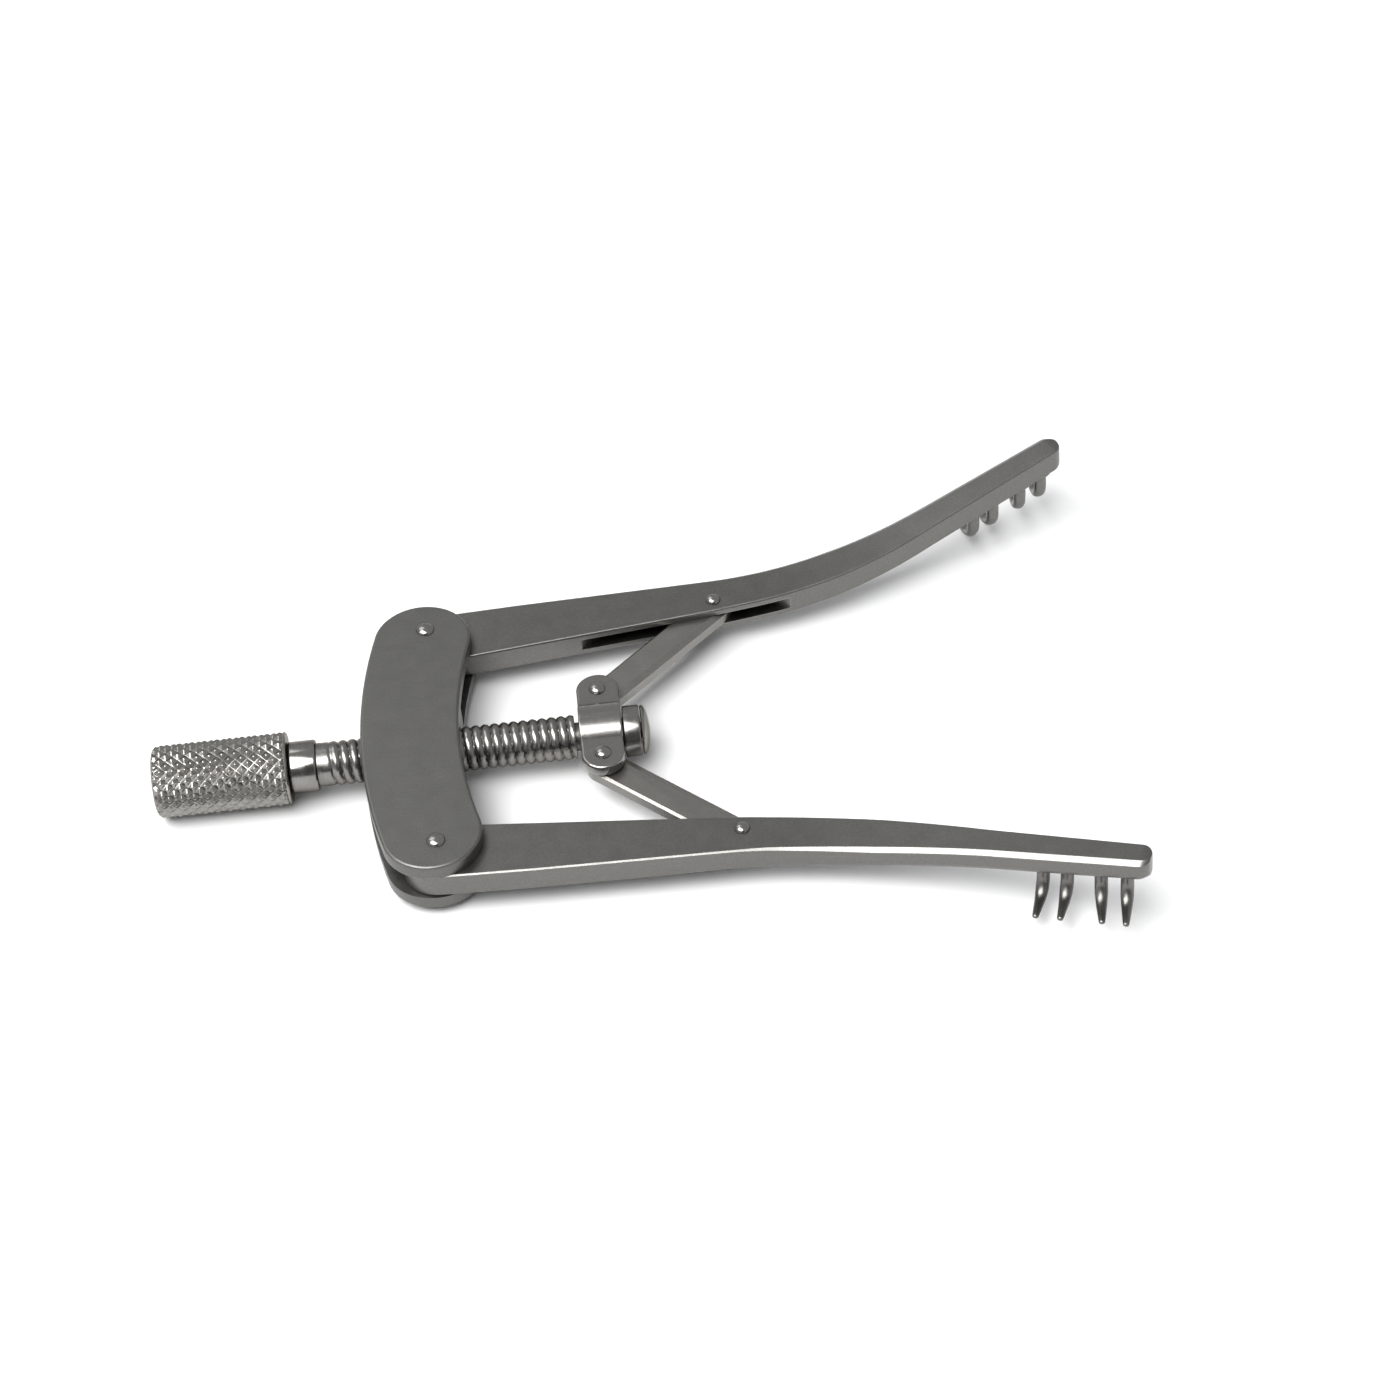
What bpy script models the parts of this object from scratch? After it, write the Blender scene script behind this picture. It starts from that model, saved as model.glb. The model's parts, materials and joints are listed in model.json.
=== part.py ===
"""A screw-driven self-retaining retractor with two hinged arms.

A knurled knob turns a threaded spindle in a tapped yoke. The spindle carries a
swivel saddle back and forth, and two short links turn that travel into the
opening and closing of two slotted arms with four blunt prongs each.

Frame: +X runs from the knob to the prongs along the spindle, +Y points to the
left arm, +Z is up. The origin is on the yoke's flat underside, midway between
the two arm pivots. Lengths below are in millimetres.
"""

import math

import bmesh
import bpy
from mathutils import Vector

MM = 0.001
OBJECT_NAME = "screw_retractor"

# ---------------------------------------------------------------- dimensions
# Fits
PIN_FIT = 0.05           # radial gap of a pin that turns in its hole
FACE_GAP = 0.05          # gap between flat faces that touch
OVERCUT = 1.0            # how far a cutter runs past the face it cuts

# Yoke: a curved bar with round ends and a slot in each end
YOKE_HALF_THICKNESS = 3.0
YOKE_HALF_WIDTH = 5.2
YOKE_MID_RADIUS = 58.9   # radius of the bar's curved middle line
YOKE_FRONT_X = 3.0       # the concave front face at the spindle
YOKE_END_Y = 14.45       # centres of the round ends
YOKE_SLOT_START_Y = 4.8
YOKE_SLOT_HALF_HEIGHT = 1.47
YOKE_EDGE = 0.25
SPINDLE_Z = YOKE_HALF_THICKNESS

# Arms, in the arm's own frame: pivot at the origin, X forwards, Y outwards
PIVOT_Y = 15.8
ARM_HALF_THICKNESS = 1.42
ARM_ROOT_RADIUS = 3.7
ARM_ROOT_HEADING = math.radians(3.9)
ARM_TIP_HEADING = math.radians(24.6)
ARM_SHANK_LENGTH = 29.0
ARM_BEND_RADIUS = 72.0
ARM_TIP_LENGTH = 18.3
ARM_OUTER_HALVES = ((0.0, 3.7), (10.0, 3.45), (33.5, 2.45), (45.0, 2.35), (56.5, 1.8), (73.7, 1.5))
ARM_INNER_HALVES = ((0.0, 3.7), (33.5, 2.25), (45.0, 2.15), (56.5, 1.7), (73.7, 1.4))
ARM_RISE_START_X = 35.5
ARM_RISE_END_X = 54.0
ARM_RISE_RADIUS = 98.0
ARM_TIP_ROUND = 1.2
ARM_ROOT_END = 0.985     # share of the root's radius at which the bar ends flat
ARM_FACET_SLOPE = 0.65   # the outer top facet falls this much for its width
ARM_OUTER_FACETS = ((0.0, 0.2), (30.0, 0.22), (45.0, 0.55), (73.7, 0.6))
ARM_OUTER_UNDERS = ((0.0, 0.3), (20.0, 0.4), (35.0, 0.7), (48.0, 1.2), (73.7, 1.2))
ARM_INNER_FACET = (0.3, 0.4)    # width and depth
ARM_INNER_UNDER = 0.3
ARM_EDGE_SHARE = 0.45    # the most of a half width that an edge may take
ARM_SLOT_RADIUS = 18.0   # the slot is an arc, as a round saw leaves it
ARM_SLOT_CENTRE = (29.8, -14.0)
ARM_SLOT_HALF_HEIGHT = 0.7
LINK_PIN_X = 31.1
LINK_PIN_Y = 1.5

# Prongs: distance along the arm, and how far each leans back, in degrees
PRONGS = ((62.0, 20.0), (64.5, 19.0), (68.0, 8.0), (70.7, 11.0))
PRONG_ROOT_Y = -0.6      # the prong's root, inwards of the arm's middle line
PRONG_ROOT_DEPTH = 0.85  # how far the root runs up into the arm
PRONG_BEND_RADIUS = 2.2
PRONG_BEND_STEPS = 6
PRONG_DROP = 3.85
PRONG_REACH = 4.4
PRONG_ROOT_RADIUS = 0.6
PRONG_TIP_RADIUS = 0.34
PRONG_TIP_ROUND = 0.25
PRONG_END_SHARE = 0.55   # the blunt end's face against the tip's radius

# Swivel saddle
SWIVEL_X = 17.75
SWIVEL_HALF_LENGTH = 2.25
SWIVEL_PIN_Y = 4.82
SWIVEL_BARREL_RADIUS = 3.3
SWIVEL_FLAT_Y = 2.8
EAR_BOTTOM = 0.7
EAR_TOP = 2.05

# Links
LINK_HALF_WIDTH = 1.8
LINK_HALF_THICKNESS = 0.65
LINK_ARM_HOLE_RADIUS = 1.32   # the open pivot: it takes up the coupling's error

# Rivets
PIVOT_RIVET_RADIUS = 0.8
LINK_RIVET_RADIUS = 0.62
SWIVEL_RIVET_RADIUS = 0.7
RIVET_HEAD_EXTRA = 0.12
RIVET_DOME = 0.5
RIVET_DOME_SHARES = (0.45, 0.8)

# Spindle
THREAD_PITCH = 1.0
THREAD_CREST_RADIUS = 2.35
THREAD_ROOT_RADIUS = 1.9
THREAD_CREST_SHARES = (0.4, 0.6)   # a crest's edges within one pitch
THREAD_START_X = -11.2
THREAD_END_X = 15.0
SHANK_RADIUS = 2.3
TAIL_RADIUS = 1.75
JOURNAL_RADIUS = 1.5
NECK_START_X = -15.1
NECK_END_X = -12.2
NECK_RADIUS = 2.73
KNOB_START_X = -29.4
KNOB_END_X = -15.15
KNOB_RADIUS = 3.85
KNOB_CHAMFER = 0.45
KNOB_ROUND = ((0.0, 2.0), (0.3, 1.0), (1.2, 0.2), (2.4, 0.0))   # (in, along), in chamfers
NECK_CHAMFER = 0.2
TAIL_DEPTH = 11.0
COLLAR_START_X = 20.1
COLLAR_END_X = 21.85
COLLAR_RADIUS = 2.7
COLLAR_CHAMFER = 0.12
BUTTON_END_X = 22.85
BUTTON_RADIUS = 2.62
BUTTON_DOME = ((0.5, 0.12), (0.85, 0.42))   # (share of the radius, depth)
BUTTON_RIM_DEPTH = 0.75
BUTTON_CHAMFER = 0.1
STUB_RADIUS = 0.8
STUB_DEPTH = 1.6

# Faceting
SMOOTH_ANGLE = math.radians(35.0)
ROUND_STEPS = 32
THREAD_STEPS = 24
KNOB_STEPS = 48
RIVET_STEPS = 16
SLOT_STEPS = 64
ARC_STEPS = 10


# ------------------------------------------------------------------ builders
def clear_scene():
    for item in list(bpy.data.objects):
        bpy.data.objects.remove(item, do_unlink=True)
    for item in list(bpy.data.collections):
        bpy.data.collections.remove(item)


def make_collection(name):
    collection = bpy.data.collections.new(name)
    bpy.context.scene.collection.children.link(collection)
    return collection


def steel(name, colour, roughness):
    material = bpy.data.materials.new(name)
    material.use_nodes = True
    shader = material.node_tree.nodes["Principled BSDF"]
    shader.inputs["Base Color"].default_value = (*colour, 1.0)
    shader.inputs["Metallic"].default_value = 1.0
    shader.inputs["Roughness"].default_value = roughness
    return material


def add_part(name, mesh, material, location, rotation=(0.0, 0.0, 0.0), parent=None):
    part = bpy.data.objects.new(name, mesh)
    mesh.materials.append(material)
    parts.objects.link(part)
    part.parent = parent
    part.location = Vector(location) * MM
    part.rotation_euler = rotation
    return part


def add_empty(name, location, parent=None):
    empty = bpy.data.objects.new(name, None)
    parts.objects.link(empty)
    empty.parent = parent
    empty.location = Vector(location) * MM
    return empty


def add_cutter(name, mesh, owner, location=(0.0, 0.0, 0.0), rotation=(0.0, 0.0, 0.0)):
    cutter = bpy.data.objects.new(name, mesh)
    cutters.objects.link(cutter)
    cutter.parent = owner
    cutter.location = Vector(location) * MM
    cutter.rotation_euler = rotation
    cutter.hide_render = True
    cutter.display_type = "WIRE"
    return cutter


def combine(owner, cutter, operation):
    modifier = owner.modifiers.new(cutter.name, "BOOLEAN")
    modifier.operation = operation
    modifier.solver = "EXACT"
    modifier.object = cutter


def cylinder_mesh(name, radius, start, end, steps):
    """A cylinder about local Z from start to end."""
    shape = bmesh.new()
    bmesh.ops.create_cone(
        shape, cap_ends=True, segments=steps,
        radius1=radius * MM, radius2=radius * MM, depth=(end - start) * MM,
    )
    bmesh.ops.translate(shape, verts=shape.verts, vec=(0.0, 0.0, (start + end) / 2 * MM))
    mesh = bpy.data.meshes.new(name)
    shape.to_mesh(mesh)
    shape.free()
    return mesh


def box_mesh(name, low, high):
    shape = bmesh.new()
    bmesh.ops.create_cube(shape, size=1.0)
    size = Vector(high) - Vector(low)
    middle = (Vector(high) + Vector(low)) / 2
    bmesh.ops.scale(shape, verts=shape.verts, vec=size * MM)
    bmesh.ops.translate(shape, verts=shape.verts, vec=middle * MM)
    mesh = bpy.data.meshes.new(name)
    shape.to_mesh(mesh)
    shape.free()
    return mesh


def turned_mesh(name, profile, steps):
    """Turn a profile of (radius, height), run down its outer side, about local Z."""
    shape = bmesh.new()
    points = [shape.verts.new((radius * MM, 0.0, height * MM)) for radius, height in profile]
    for first, second in zip(points, points[1:]):
        shape.edges.new((first, second))
    if profile[0][0] > 0.0:
        shape.edges.new((points[-1], points[0]))
    outline = bpy.data.meshes.new(name + "_profile")
    shape.to_mesh(outline)
    shape.free()
    holder = bpy.data.objects.new(name + "_profile", outline)
    cutters.objects.link(holder)
    screw = holder.modifiers.new("turned", "SCREW")
    screw.axis = "Z"
    screw.steps = steps
    screw.render_steps = steps
    screw.use_merge_vertices = True
    screw.merge_threshold = 0.000001
    mesh = evaluated_mesh(name, holder)
    mesh.shade_smooth()
    mesh.set_sharp_from_angle(angle=SMOOTH_ANGLE)
    return mesh


def evaluated_mesh(name, holder):
    """The mesh that an object's curve or modifiers make; the object is then removed."""
    bpy.context.view_layer.update()
    evaluated = holder.evaluated_get(bpy.context.evaluated_depsgraph_get())
    mesh = bpy.data.meshes.new_from_object(evaluated)
    bpy.data.objects.remove(holder)
    mesh.name = name
    return mesh


def turned_part(name, profile, material, location, steps, along_x=False, parent=None):
    rotation = (0.0, math.pi / 2, 0.0) if along_x else (0.0, 0.0, 0.0)
    return add_part(name, turned_mesh(name, profile, steps), material, location, rotation, parent)


def plate_mesh(name, outlines, half_thickness):
    """A flat plate between its outer outline and any hole outlines."""
    curve = bpy.data.curves.new(name, "CURVE")
    curve.dimensions = "2D"
    curve.fill_mode = "BOTH"
    curve.extrude = half_thickness * MM
    for outline in outlines:
        spline = curve.splines.new("POLY")
        spline.points.add(len(outline) - 1)
        for point, (x, y) in zip(spline.points, outline):
            point.co = (x * MM, y * MM, 0.0, 1.0)
        spline.use_cyclic_u = True
    return mesh_from_curve(name, curve)


def mesh_from_curve(name, curve):
    holder = bpy.data.objects.new(name + "_curve", curve)
    cutters.objects.link(holder)
    mesh = evaluated_mesh(name, holder)
    shape = bmesh.new()
    shape.from_mesh(mesh)
    bmesh.ops.remove_doubles(shape, verts=shape.verts, dist=0.000001)
    bmesh.ops.recalc_face_normals(shape, faces=shape.faces)
    shape.to_mesh(mesh)
    shape.free()
    return mesh


def circle(centre, radius, steps):
    angles = [2 * math.pi * step / steps for step in range(steps)]
    return [(centre[0] + radius * math.cos(a), centre[1] + radius * math.sin(a)) for a in angles]


def arc(centre, radius, start, end, steps):
    angles = [start + (end - start) * step / steps for step in range(steps + 1)]
    return [(centre[0] + radius * math.cos(a), centre[1] + radius * math.sin(a)) for a in angles]


def interpolate(table, position):
    for (x0, y0), (x1, y1) in zip(table, table[1:]):
        if position <= x1:
            return y0 + (y1 - y0) * (position - x0) / (x1 - x0)
    return table[-1][1]


# ---------------------------------------------------------------------- yoke
def yoke_outline():
    """A bent bar: two concentric arcs closed by two round ends."""
    centre_x = YOKE_FRONT_X - YOKE_HALF_WIDTH + YOKE_MID_RADIUS
    sweep = math.asin(YOKE_END_Y / YOKE_MID_RADIUS)
    outer = YOKE_MID_RADIUS + YOKE_HALF_WIDTH
    inner = YOKE_MID_RADIUS - YOKE_HALF_WIDTH
    middle = (centre_x, 0.0)
    left_end = (centre_x - YOKE_MID_RADIUS * math.cos(sweep), YOKE_END_Y)
    right_end = (left_end[0], -YOKE_END_Y)
    steps = 2 * ARC_STEPS
    half_turn = math.pi
    points = arc(middle, outer, half_turn - sweep, half_turn + sweep, steps)
    points += arc(right_end, YOKE_HALF_WIDTH, half_turn + sweep, 2 * half_turn + sweep, steps)[1:-1]
    points += arc(middle, inner, half_turn + sweep, half_turn - sweep, steps)
    points += arc(left_end, YOKE_HALF_WIDTH, -sweep, half_turn - sweep, steps)[1:-1]
    return points


def build_yoke():
    yoke = add_part(
        "yoke_body", plate_mesh("yoke_body", [yoke_outline()], YOKE_HALF_THICKNESS),
        yoke_steel, (0.0, 0.0, SPINDLE_Z),
    )
    edge = yoke.modifiers.new("broken_edges", "BEVEL")
    edge.width = YOKE_EDGE * MM
    edge.segments = 2
    edge.limit_method = "ANGLE"
    edge.angle_limit = math.radians(60.0)
    reach = PIVOT_Y + YOKE_HALF_WIDTH + OVERCUT
    side_x = YOKE_HALF_WIDTH + YOKE_END_Y
    for side, name in ((1, "left"), (-1, "right")):
        near, far = sorted((side * YOKE_SLOT_START_Y, side * reach))
        slot = box_mesh(
            name + "_slot",
            (-side_x, near, -YOKE_SLOT_HALF_HEIGHT), (side_x, far, YOKE_SLOT_HALF_HEIGHT),
        )
        combine(yoke, add_cutter(name + "_slot", slot, yoke), "DIFFERENCE")
        hole = cylinder_mesh(
            name + "_pivot_hole", PIVOT_RIVET_RADIUS + PIN_FIT,
            -YOKE_HALF_THICKNESS - OVERCUT, YOKE_HALF_THICKNESS + OVERCUT, RIVET_STEPS,
        )
        cutter = add_cutter(name + "_pivot_hole", hole, yoke, (0.0, side * PIVOT_Y, 0.0))
        combine(yoke, cutter, "DIFFERENCE")
    bore = cylinder_mesh(
        "spindle_bore", THREAD_CREST_RADIUS + PIN_FIT,
        YOKE_FRONT_X - 2 * YOKE_HALF_WIDTH - OVERCUT, YOKE_FRONT_X + OVERCUT, ROUND_STEPS,
    )
    along_x = (0.0, math.pi / 2, 0.0)
    combine(yoke, add_cutter("spindle_bore", bore, yoke, rotation=along_x), "DIFFERENCE")


# ---------------------------------------------------------------------- arms
def arm_length():
    bend = ARM_BEND_RADIUS * (ARM_TIP_HEADING - ARM_ROOT_HEADING)
    return ARM_SHANK_LENGTH + bend + ARM_TIP_LENGTH


def arm_point(distance):
    """The arm's middle line in plan, and its heading, at a distance from the pivot."""
    heading = ARM_ROOT_HEADING
    shank = min(distance, ARM_SHANK_LENGTH)
    x = shank * math.cos(heading)
    y = shank * math.sin(heading)
    bend = distance - ARM_SHANK_LENGTH
    if bend > 0.0:
        turn_angle = min(bend / ARM_BEND_RADIUS, ARM_TIP_HEADING - ARM_ROOT_HEADING)
        heading = ARM_ROOT_HEADING + turn_angle
        x += ARM_BEND_RADIUS * (math.sin(heading) - math.sin(ARM_ROOT_HEADING))
        y += ARM_BEND_RADIUS * (math.cos(ARM_ROOT_HEADING) - math.cos(heading))
        rest = bend - ARM_BEND_RADIUS * turn_angle
        x += rest * math.cos(heading)
        y += rest * math.sin(heading)
    return x, y, heading


def arm_rise(x):
    """Level, then a shallow arc upwards, then straight on."""
    along_arc = min(max(0.0, x - ARM_RISE_START_X), ARM_RISE_END_X - ARM_RISE_START_X)
    slope = along_arc / ARM_RISE_RADIUS
    return along_arc * slope / 2 + max(0.0, x - ARM_RISE_END_X) * slope


def arm_half_width(halves, distance):
    """The width of one side of the arm, from its middle line."""
    if distance < 0.0:
        return math.sqrt(max(ARM_ROOT_RADIUS ** 2 - distance ** 2, 0.0))
    half = interpolate(halves, distance)
    past = distance - (arm_length() - ARM_TIP_ROUND)
    if past > 0.0:
        half -= ARM_TIP_ROUND - math.sqrt(max(ARM_TIP_ROUND ** 2 - past ** 2, 0.0))
    return half


def arm_stations():
    """Distances from the pivot at which the arm's section is set."""
    root = [-ARM_ROOT_RADIUS * math.cos(math.pi / 2 * step / 6) for step in range(6)]
    root[0] *= ARM_ROOT_END
    shank = [0.0, ARM_SHANK_LENGTH / 2, ARM_SHANK_LENGTH]
    bend_length = arm_length() - ARM_TIP_LENGTH - ARM_SHANK_LENGTH
    bend = [ARM_SHANK_LENGTH + bend_length * step / ARC_STEPS for step in range(1, ARC_STEPS + 1)]
    tip_start = arm_length() - ARM_TIP_LENGTH
    straight = ARM_TIP_LENGTH - ARM_TIP_ROUND
    tip = [tip_start + straight * step / 4 for step in range(1, 5)]
    round_start = arm_length() - ARM_TIP_ROUND
    end = [round_start + ARM_TIP_ROUND * math.sin(math.pi / 2 * step / 4) for step in range(1, 4)]
    return root + shank + bend + tip + end


def arm_section(distance, side):
    """An upright rectangle with a facet or a broken edge at each corner, across the arm."""
    x, y, heading = arm_point(distance)
    outer = arm_half_width(ARM_OUTER_HALVES, distance)
    inner = arm_half_width(ARM_INNER_HALVES, distance)
    past_root = max(distance, 0.0)
    top = min(interpolate(ARM_OUTER_FACETS, past_root), outer * ARM_EDGE_SHARE)
    under = min(interpolate(ARM_OUTER_UNDERS, past_root), outer * ARM_EDGE_SHARE)
    inner_top = min(ARM_INNER_FACET[0], inner * ARM_EDGE_SHARE)
    inner_under = min(ARM_INNER_UNDER, inner * ARM_EDGE_SHARE)
    tall = ARM_HALF_THICKNESS
    corners = (
        (outer, tall - top * ARM_FACET_SLOPE), (outer - top, tall),
        (inner_top - inner, tall), (-inner, tall - ARM_INNER_FACET[1]),
        (-inner, inner_under - tall), (inner_under - inner, -tall),
        (outer - under, -tall), (outer, under - tall),
    )
    rise = arm_rise(x)
    ring = []
    for across, up in corners:
        section_x = x - across * math.sin(heading)
        section_y = y + across * math.cos(heading)
        ring.append(Vector((section_x, side * section_y, rise + up)))
    return ring


def loft_mesh(name, rings):
    """A closed body through rings that have the same number of points."""
    shape = bmesh.new()
    loops = [[shape.verts.new(point * MM) for point in ring] for ring in rings]
    count = len(rings[0])
    for lower, upper in zip(loops, loops[1:]):
        for index in range(count):
            after = (index + 1) % count
            shape.faces.new((lower[index], lower[after], upper[after], upper[index]))
    shape.faces.new(loops[0])
    shape.faces.new(loops[-1])
    bmesh.ops.recalc_face_normals(shape, faces=shape.faces)
    mesh = bpy.data.meshes.new(name)
    shape.to_mesh(mesh)
    shape.free()
    return mesh


def prong_path():
    """(out, up) along a prong's middle line, from inside the arm to the blunt end."""
    straight = PRONG_DROP - PRONG_BEND_RADIUS
    path = [(0.0, PRONG_ROOT_DEPTH), (0.0, 0.0)]
    for step in range(PRONG_BEND_STEPS + 1):
        angle = math.pi / 2 * step / PRONG_BEND_STEPS
        out = PRONG_BEND_RADIUS * (1 - math.cos(angle))
        path.append((out, -straight - PRONG_BEND_RADIUS * math.sin(angle)))
    middle = (PRONG_BEND_RADIUS + PRONG_REACH - PRONG_TIP_ROUND) / 2
    path += [(out, -PRONG_DROP) for out in (middle, PRONG_REACH - PRONG_TIP_ROUND, PRONG_REACH)]
    return path


def prong_radius(index, last):
    """Full over the bend's start, then an even taper to the blunt end."""
    if index == last:
        return PRONG_TIP_RADIUS * PRONG_END_SHARE
    tapered_from = 2 + PRONG_BEND_STEPS // 2
    share = max(index - tapered_from, 0) / (last - 1 - tapered_from)
    return PRONG_ROOT_RADIUS + (PRONG_TIP_RADIUS - PRONG_ROOT_RADIUS) * share


def prong_mesh(name, distance, lean, side):
    """A tapered prong that drops from the arm's underside and curls outwards."""
    x, y, heading = arm_point(distance)
    x -= PRONG_ROOT_Y * math.sin(heading)
    y += PRONG_ROOT_Y * math.cos(heading)
    base = Vector((x, side * y, arm_rise(x) - ARM_HALF_THICKNESS))
    outwards = Vector((-math.sin(lean), side * math.cos(lean), 0.0))
    path = prong_path()
    last = len(path) - 1
    curve = bpy.data.curves.new(name, "CURVE")
    curve.dimensions = "3D"
    curve.bevel_depth = MM
    curve.bevel_resolution = 2
    curve.use_fill_caps = True
    spline = curve.splines.new("POLY")
    spline.points.add(last)
    for index, (out, up) in enumerate(path):
        place = (base + outwards * out + Vector((0.0, 0.0, up))) * MM
        spline.points[index].co = (*place, 1.0)
        spline.points[index].radius = prong_radius(index, last)
    return mesh_from_curve(name, curve)


def build_arm(side, name):
    rings = [arm_section(distance, side) for distance in arm_stations()]
    bar = loft_mesh(name + "_arm", rings)
    arm = add_part(name + "_arm", bar, arm_steel, (0.0, side * PIVOT_Y, SPINDLE_Z))
    deep = ARM_HALF_THICKNESS + OVERCUT
    pivot = cylinder_mesh(
        name + "_pivot_bore", PIVOT_RIVET_RADIUS + PIN_FIT, -deep, deep, RIVET_STEPS,
    )
    combine(arm, add_cutter(name + "_pivot_bore", pivot, arm), "DIFFERENCE")
    saw = cylinder_mesh(
        name + "_link_slot", ARM_SLOT_RADIUS, -ARM_SLOT_HALF_HEIGHT, ARM_SLOT_HALF_HEIGHT, SLOT_STEPS,
    )
    saw_place = (ARM_SLOT_CENTRE[0], side * ARM_SLOT_CENTRE[1], 0.0)
    combine(arm, add_cutter(name + "_link_slot", saw, arm, saw_place), "DIFFERENCE")
    rivet_hole = cylinder_mesh(
        name + "_link_pin_hole", LINK_RIVET_RADIUS + PIN_FIT, -deep, deep, RIVET_STEPS,
    )
    pin_place = (LINK_PIN_X, side * LINK_PIN_Y, 0.0)
    combine(arm, add_cutter(name + "_link_pin_hole", rivet_hole, arm, pin_place), "DIFFERENCE")
    for number, (distance, lean) in enumerate(PRONGS, start=1):
        prong_name = f"{name}_prong_{number}"
        prong = prong_mesh(prong_name, distance, math.radians(lean), side)
        combine(arm, add_cutter(prong_name, prong, arm), "UNION")
    return arm


# -------------------------------------------------------------------- rivets
def rivet_profile(shank_radius, top, bottom):
    """A shank with a low dome beyond the face at each end."""
    head = shank_radius + PIN_FIT + RIVET_HEAD_EXTRA
    dome = [(0.0, top + RIVET_DOME)]
    for share in RIVET_DOME_SHARES:
        dome.append((head * share, top + RIVET_DOME * math.sqrt(1 - share ** 2)))
    dome += [(head, top + FACE_GAP), (shank_radius, top + FACE_GAP)]
    foot = [(radius, bottom - (height - top)) for radius, height in reversed(dome)]
    return dome + foot


def build_rivets(side, name, arm, carriage):
    turned_part(
        name + "_pivot_rivet",
        rivet_profile(PIVOT_RIVET_RADIUS, YOKE_HALF_THICKNESS, -YOKE_HALF_THICKNESS),
        rivet_steel, (0.0, side * PIVOT_Y, SPINDLE_Z), RIVET_STEPS,
    )
    turned_part(
        name + "_link_rivet",
        rivet_profile(LINK_RIVET_RADIUS, ARM_HALF_THICKNESS, -ARM_HALF_THICKNESS),
        rivet_steel, (LINK_PIN_X, side * LINK_PIN_Y, 0.0), RIVET_STEPS, parent=arm,
    )
    turned_part(
        name + "_swivel_rivet",
        rivet_profile(SWIVEL_RIVET_RADIUS, EAR_TOP, -LINK_HALF_THICKNESS),
        rivet_steel, (0.0, side * SWIVEL_PIN_Y, 0.0), RIVET_STEPS, parent=carriage,
    )


# --------------------------------------------------------------------- links
def link_vector():
    """From the swivel's rivet to the arm's rivet, for the left link at rest."""
    return Vector((LINK_PIN_X - SWIVEL_X, PIVOT_Y + LINK_PIN_Y - SWIVEL_PIN_Y))


def build_link(side, name, carriage):
    length = link_vector().length
    heading = math.atan2(side * link_vector().y, link_vector().x)
    quarter = math.pi / 2
    outline = arc((0.0, 0.0), LINK_HALF_WIDTH, quarter, 3 * quarter, ARC_STEPS)
    outline += arc((length, 0.0), LINK_HALF_WIDTH, -quarter, quarter, ARC_STEPS)
    holes = [
        circle((0.0, 0.0), SWIVEL_RIVET_RADIUS + PIN_FIT, RIVET_STEPS),
        circle((length, 0.0), LINK_ARM_HOLE_RADIUS, ROUND_STEPS),
    ]
    mesh = plate_mesh(name + "_link", [outline, *holes], LINK_HALF_THICKNESS)
    add_part(
        name + "_link", mesh, link_steel, (0.0, side * SWIVEL_PIN_Y, 0.0), (0.0, 0.0, heading), carriage,
    )


# -------------------------------------------------------------------- swivel
def swivel_plate_outline():
    quarter = math.pi / 2
    left = arc((0.0, SWIVEL_PIN_Y), SWIVEL_HALF_LENGTH, 0.0, 2 * quarter, ARC_STEPS)
    right = arc((0.0, -SWIVEL_PIN_Y), SWIVEL_HALF_LENGTH, 2 * quarter, 4 * quarter, ARC_STEPS)
    return left + right


def build_swivel(carriage):
    barrel = cylinder_mesh(
        "swivel_saddle", SWIVEL_BARREL_RADIUS, -SWIVEL_HALF_LENGTH, SWIVEL_HALF_LENGTH, ROUND_STEPS,
    )
    swivel = add_part(
        "swivel_saddle", barrel, swivel_steel, (0.0, 0.0, 0.0), (0.0, math.pi / 2, 0.0), carriage,
    )
    upright = (0.0, -math.pi / 2, 0.0)
    side_reach = SWIVEL_BARREL_RADIUS + OVERCUT
    for side, name in ((1, "left"), (-1, "right")):
        near, far = sorted((side * SWIVEL_FLAT_Y, side * side_reach))
        flat = box_mesh(
            name + "_flat", (-side_reach, near, -side_reach), (side_reach, far, EAR_BOTTOM),
        )
        combine(swivel, add_cutter(name + "_flat", flat, swivel, rotation=upright), "DIFFERENCE")
    plate = plate_mesh("swivel_ears", [swivel_plate_outline()], (EAR_TOP - EAR_BOTTOM) / 2)
    middle = (EAR_TOP + EAR_BOTTOM) / 2
    ears = add_cutter("swivel_ears", plate, swivel, (-middle, 0.0, 0.0), upright)
    combine(swivel, ears, "UNION")
    for side, name in ((1, "left"), (-1, "right")):
        hole = cylinder_mesh(
            name + "_ear_hole", SWIVEL_RIVET_RADIUS + PIN_FIT, 0.0, EAR_TOP + OVERCUT, RIVET_STEPS,
        )
        place = (0.0, side * SWIVEL_PIN_Y, 0.0)
        combine(swivel, add_cutter(name + "_ear_hole", hole, swivel, place, upright), "DIFFERENCE")
    reach = SWIVEL_HALF_LENGTH + OVERCUT
    bore = cylinder_mesh("journal_bore", JOURNAL_RADIUS + PIN_FIT, -reach, reach, ROUND_STEPS)
    combine(swivel, add_cutter("journal_bore", bore, swivel), "DIFFERENCE")


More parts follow.
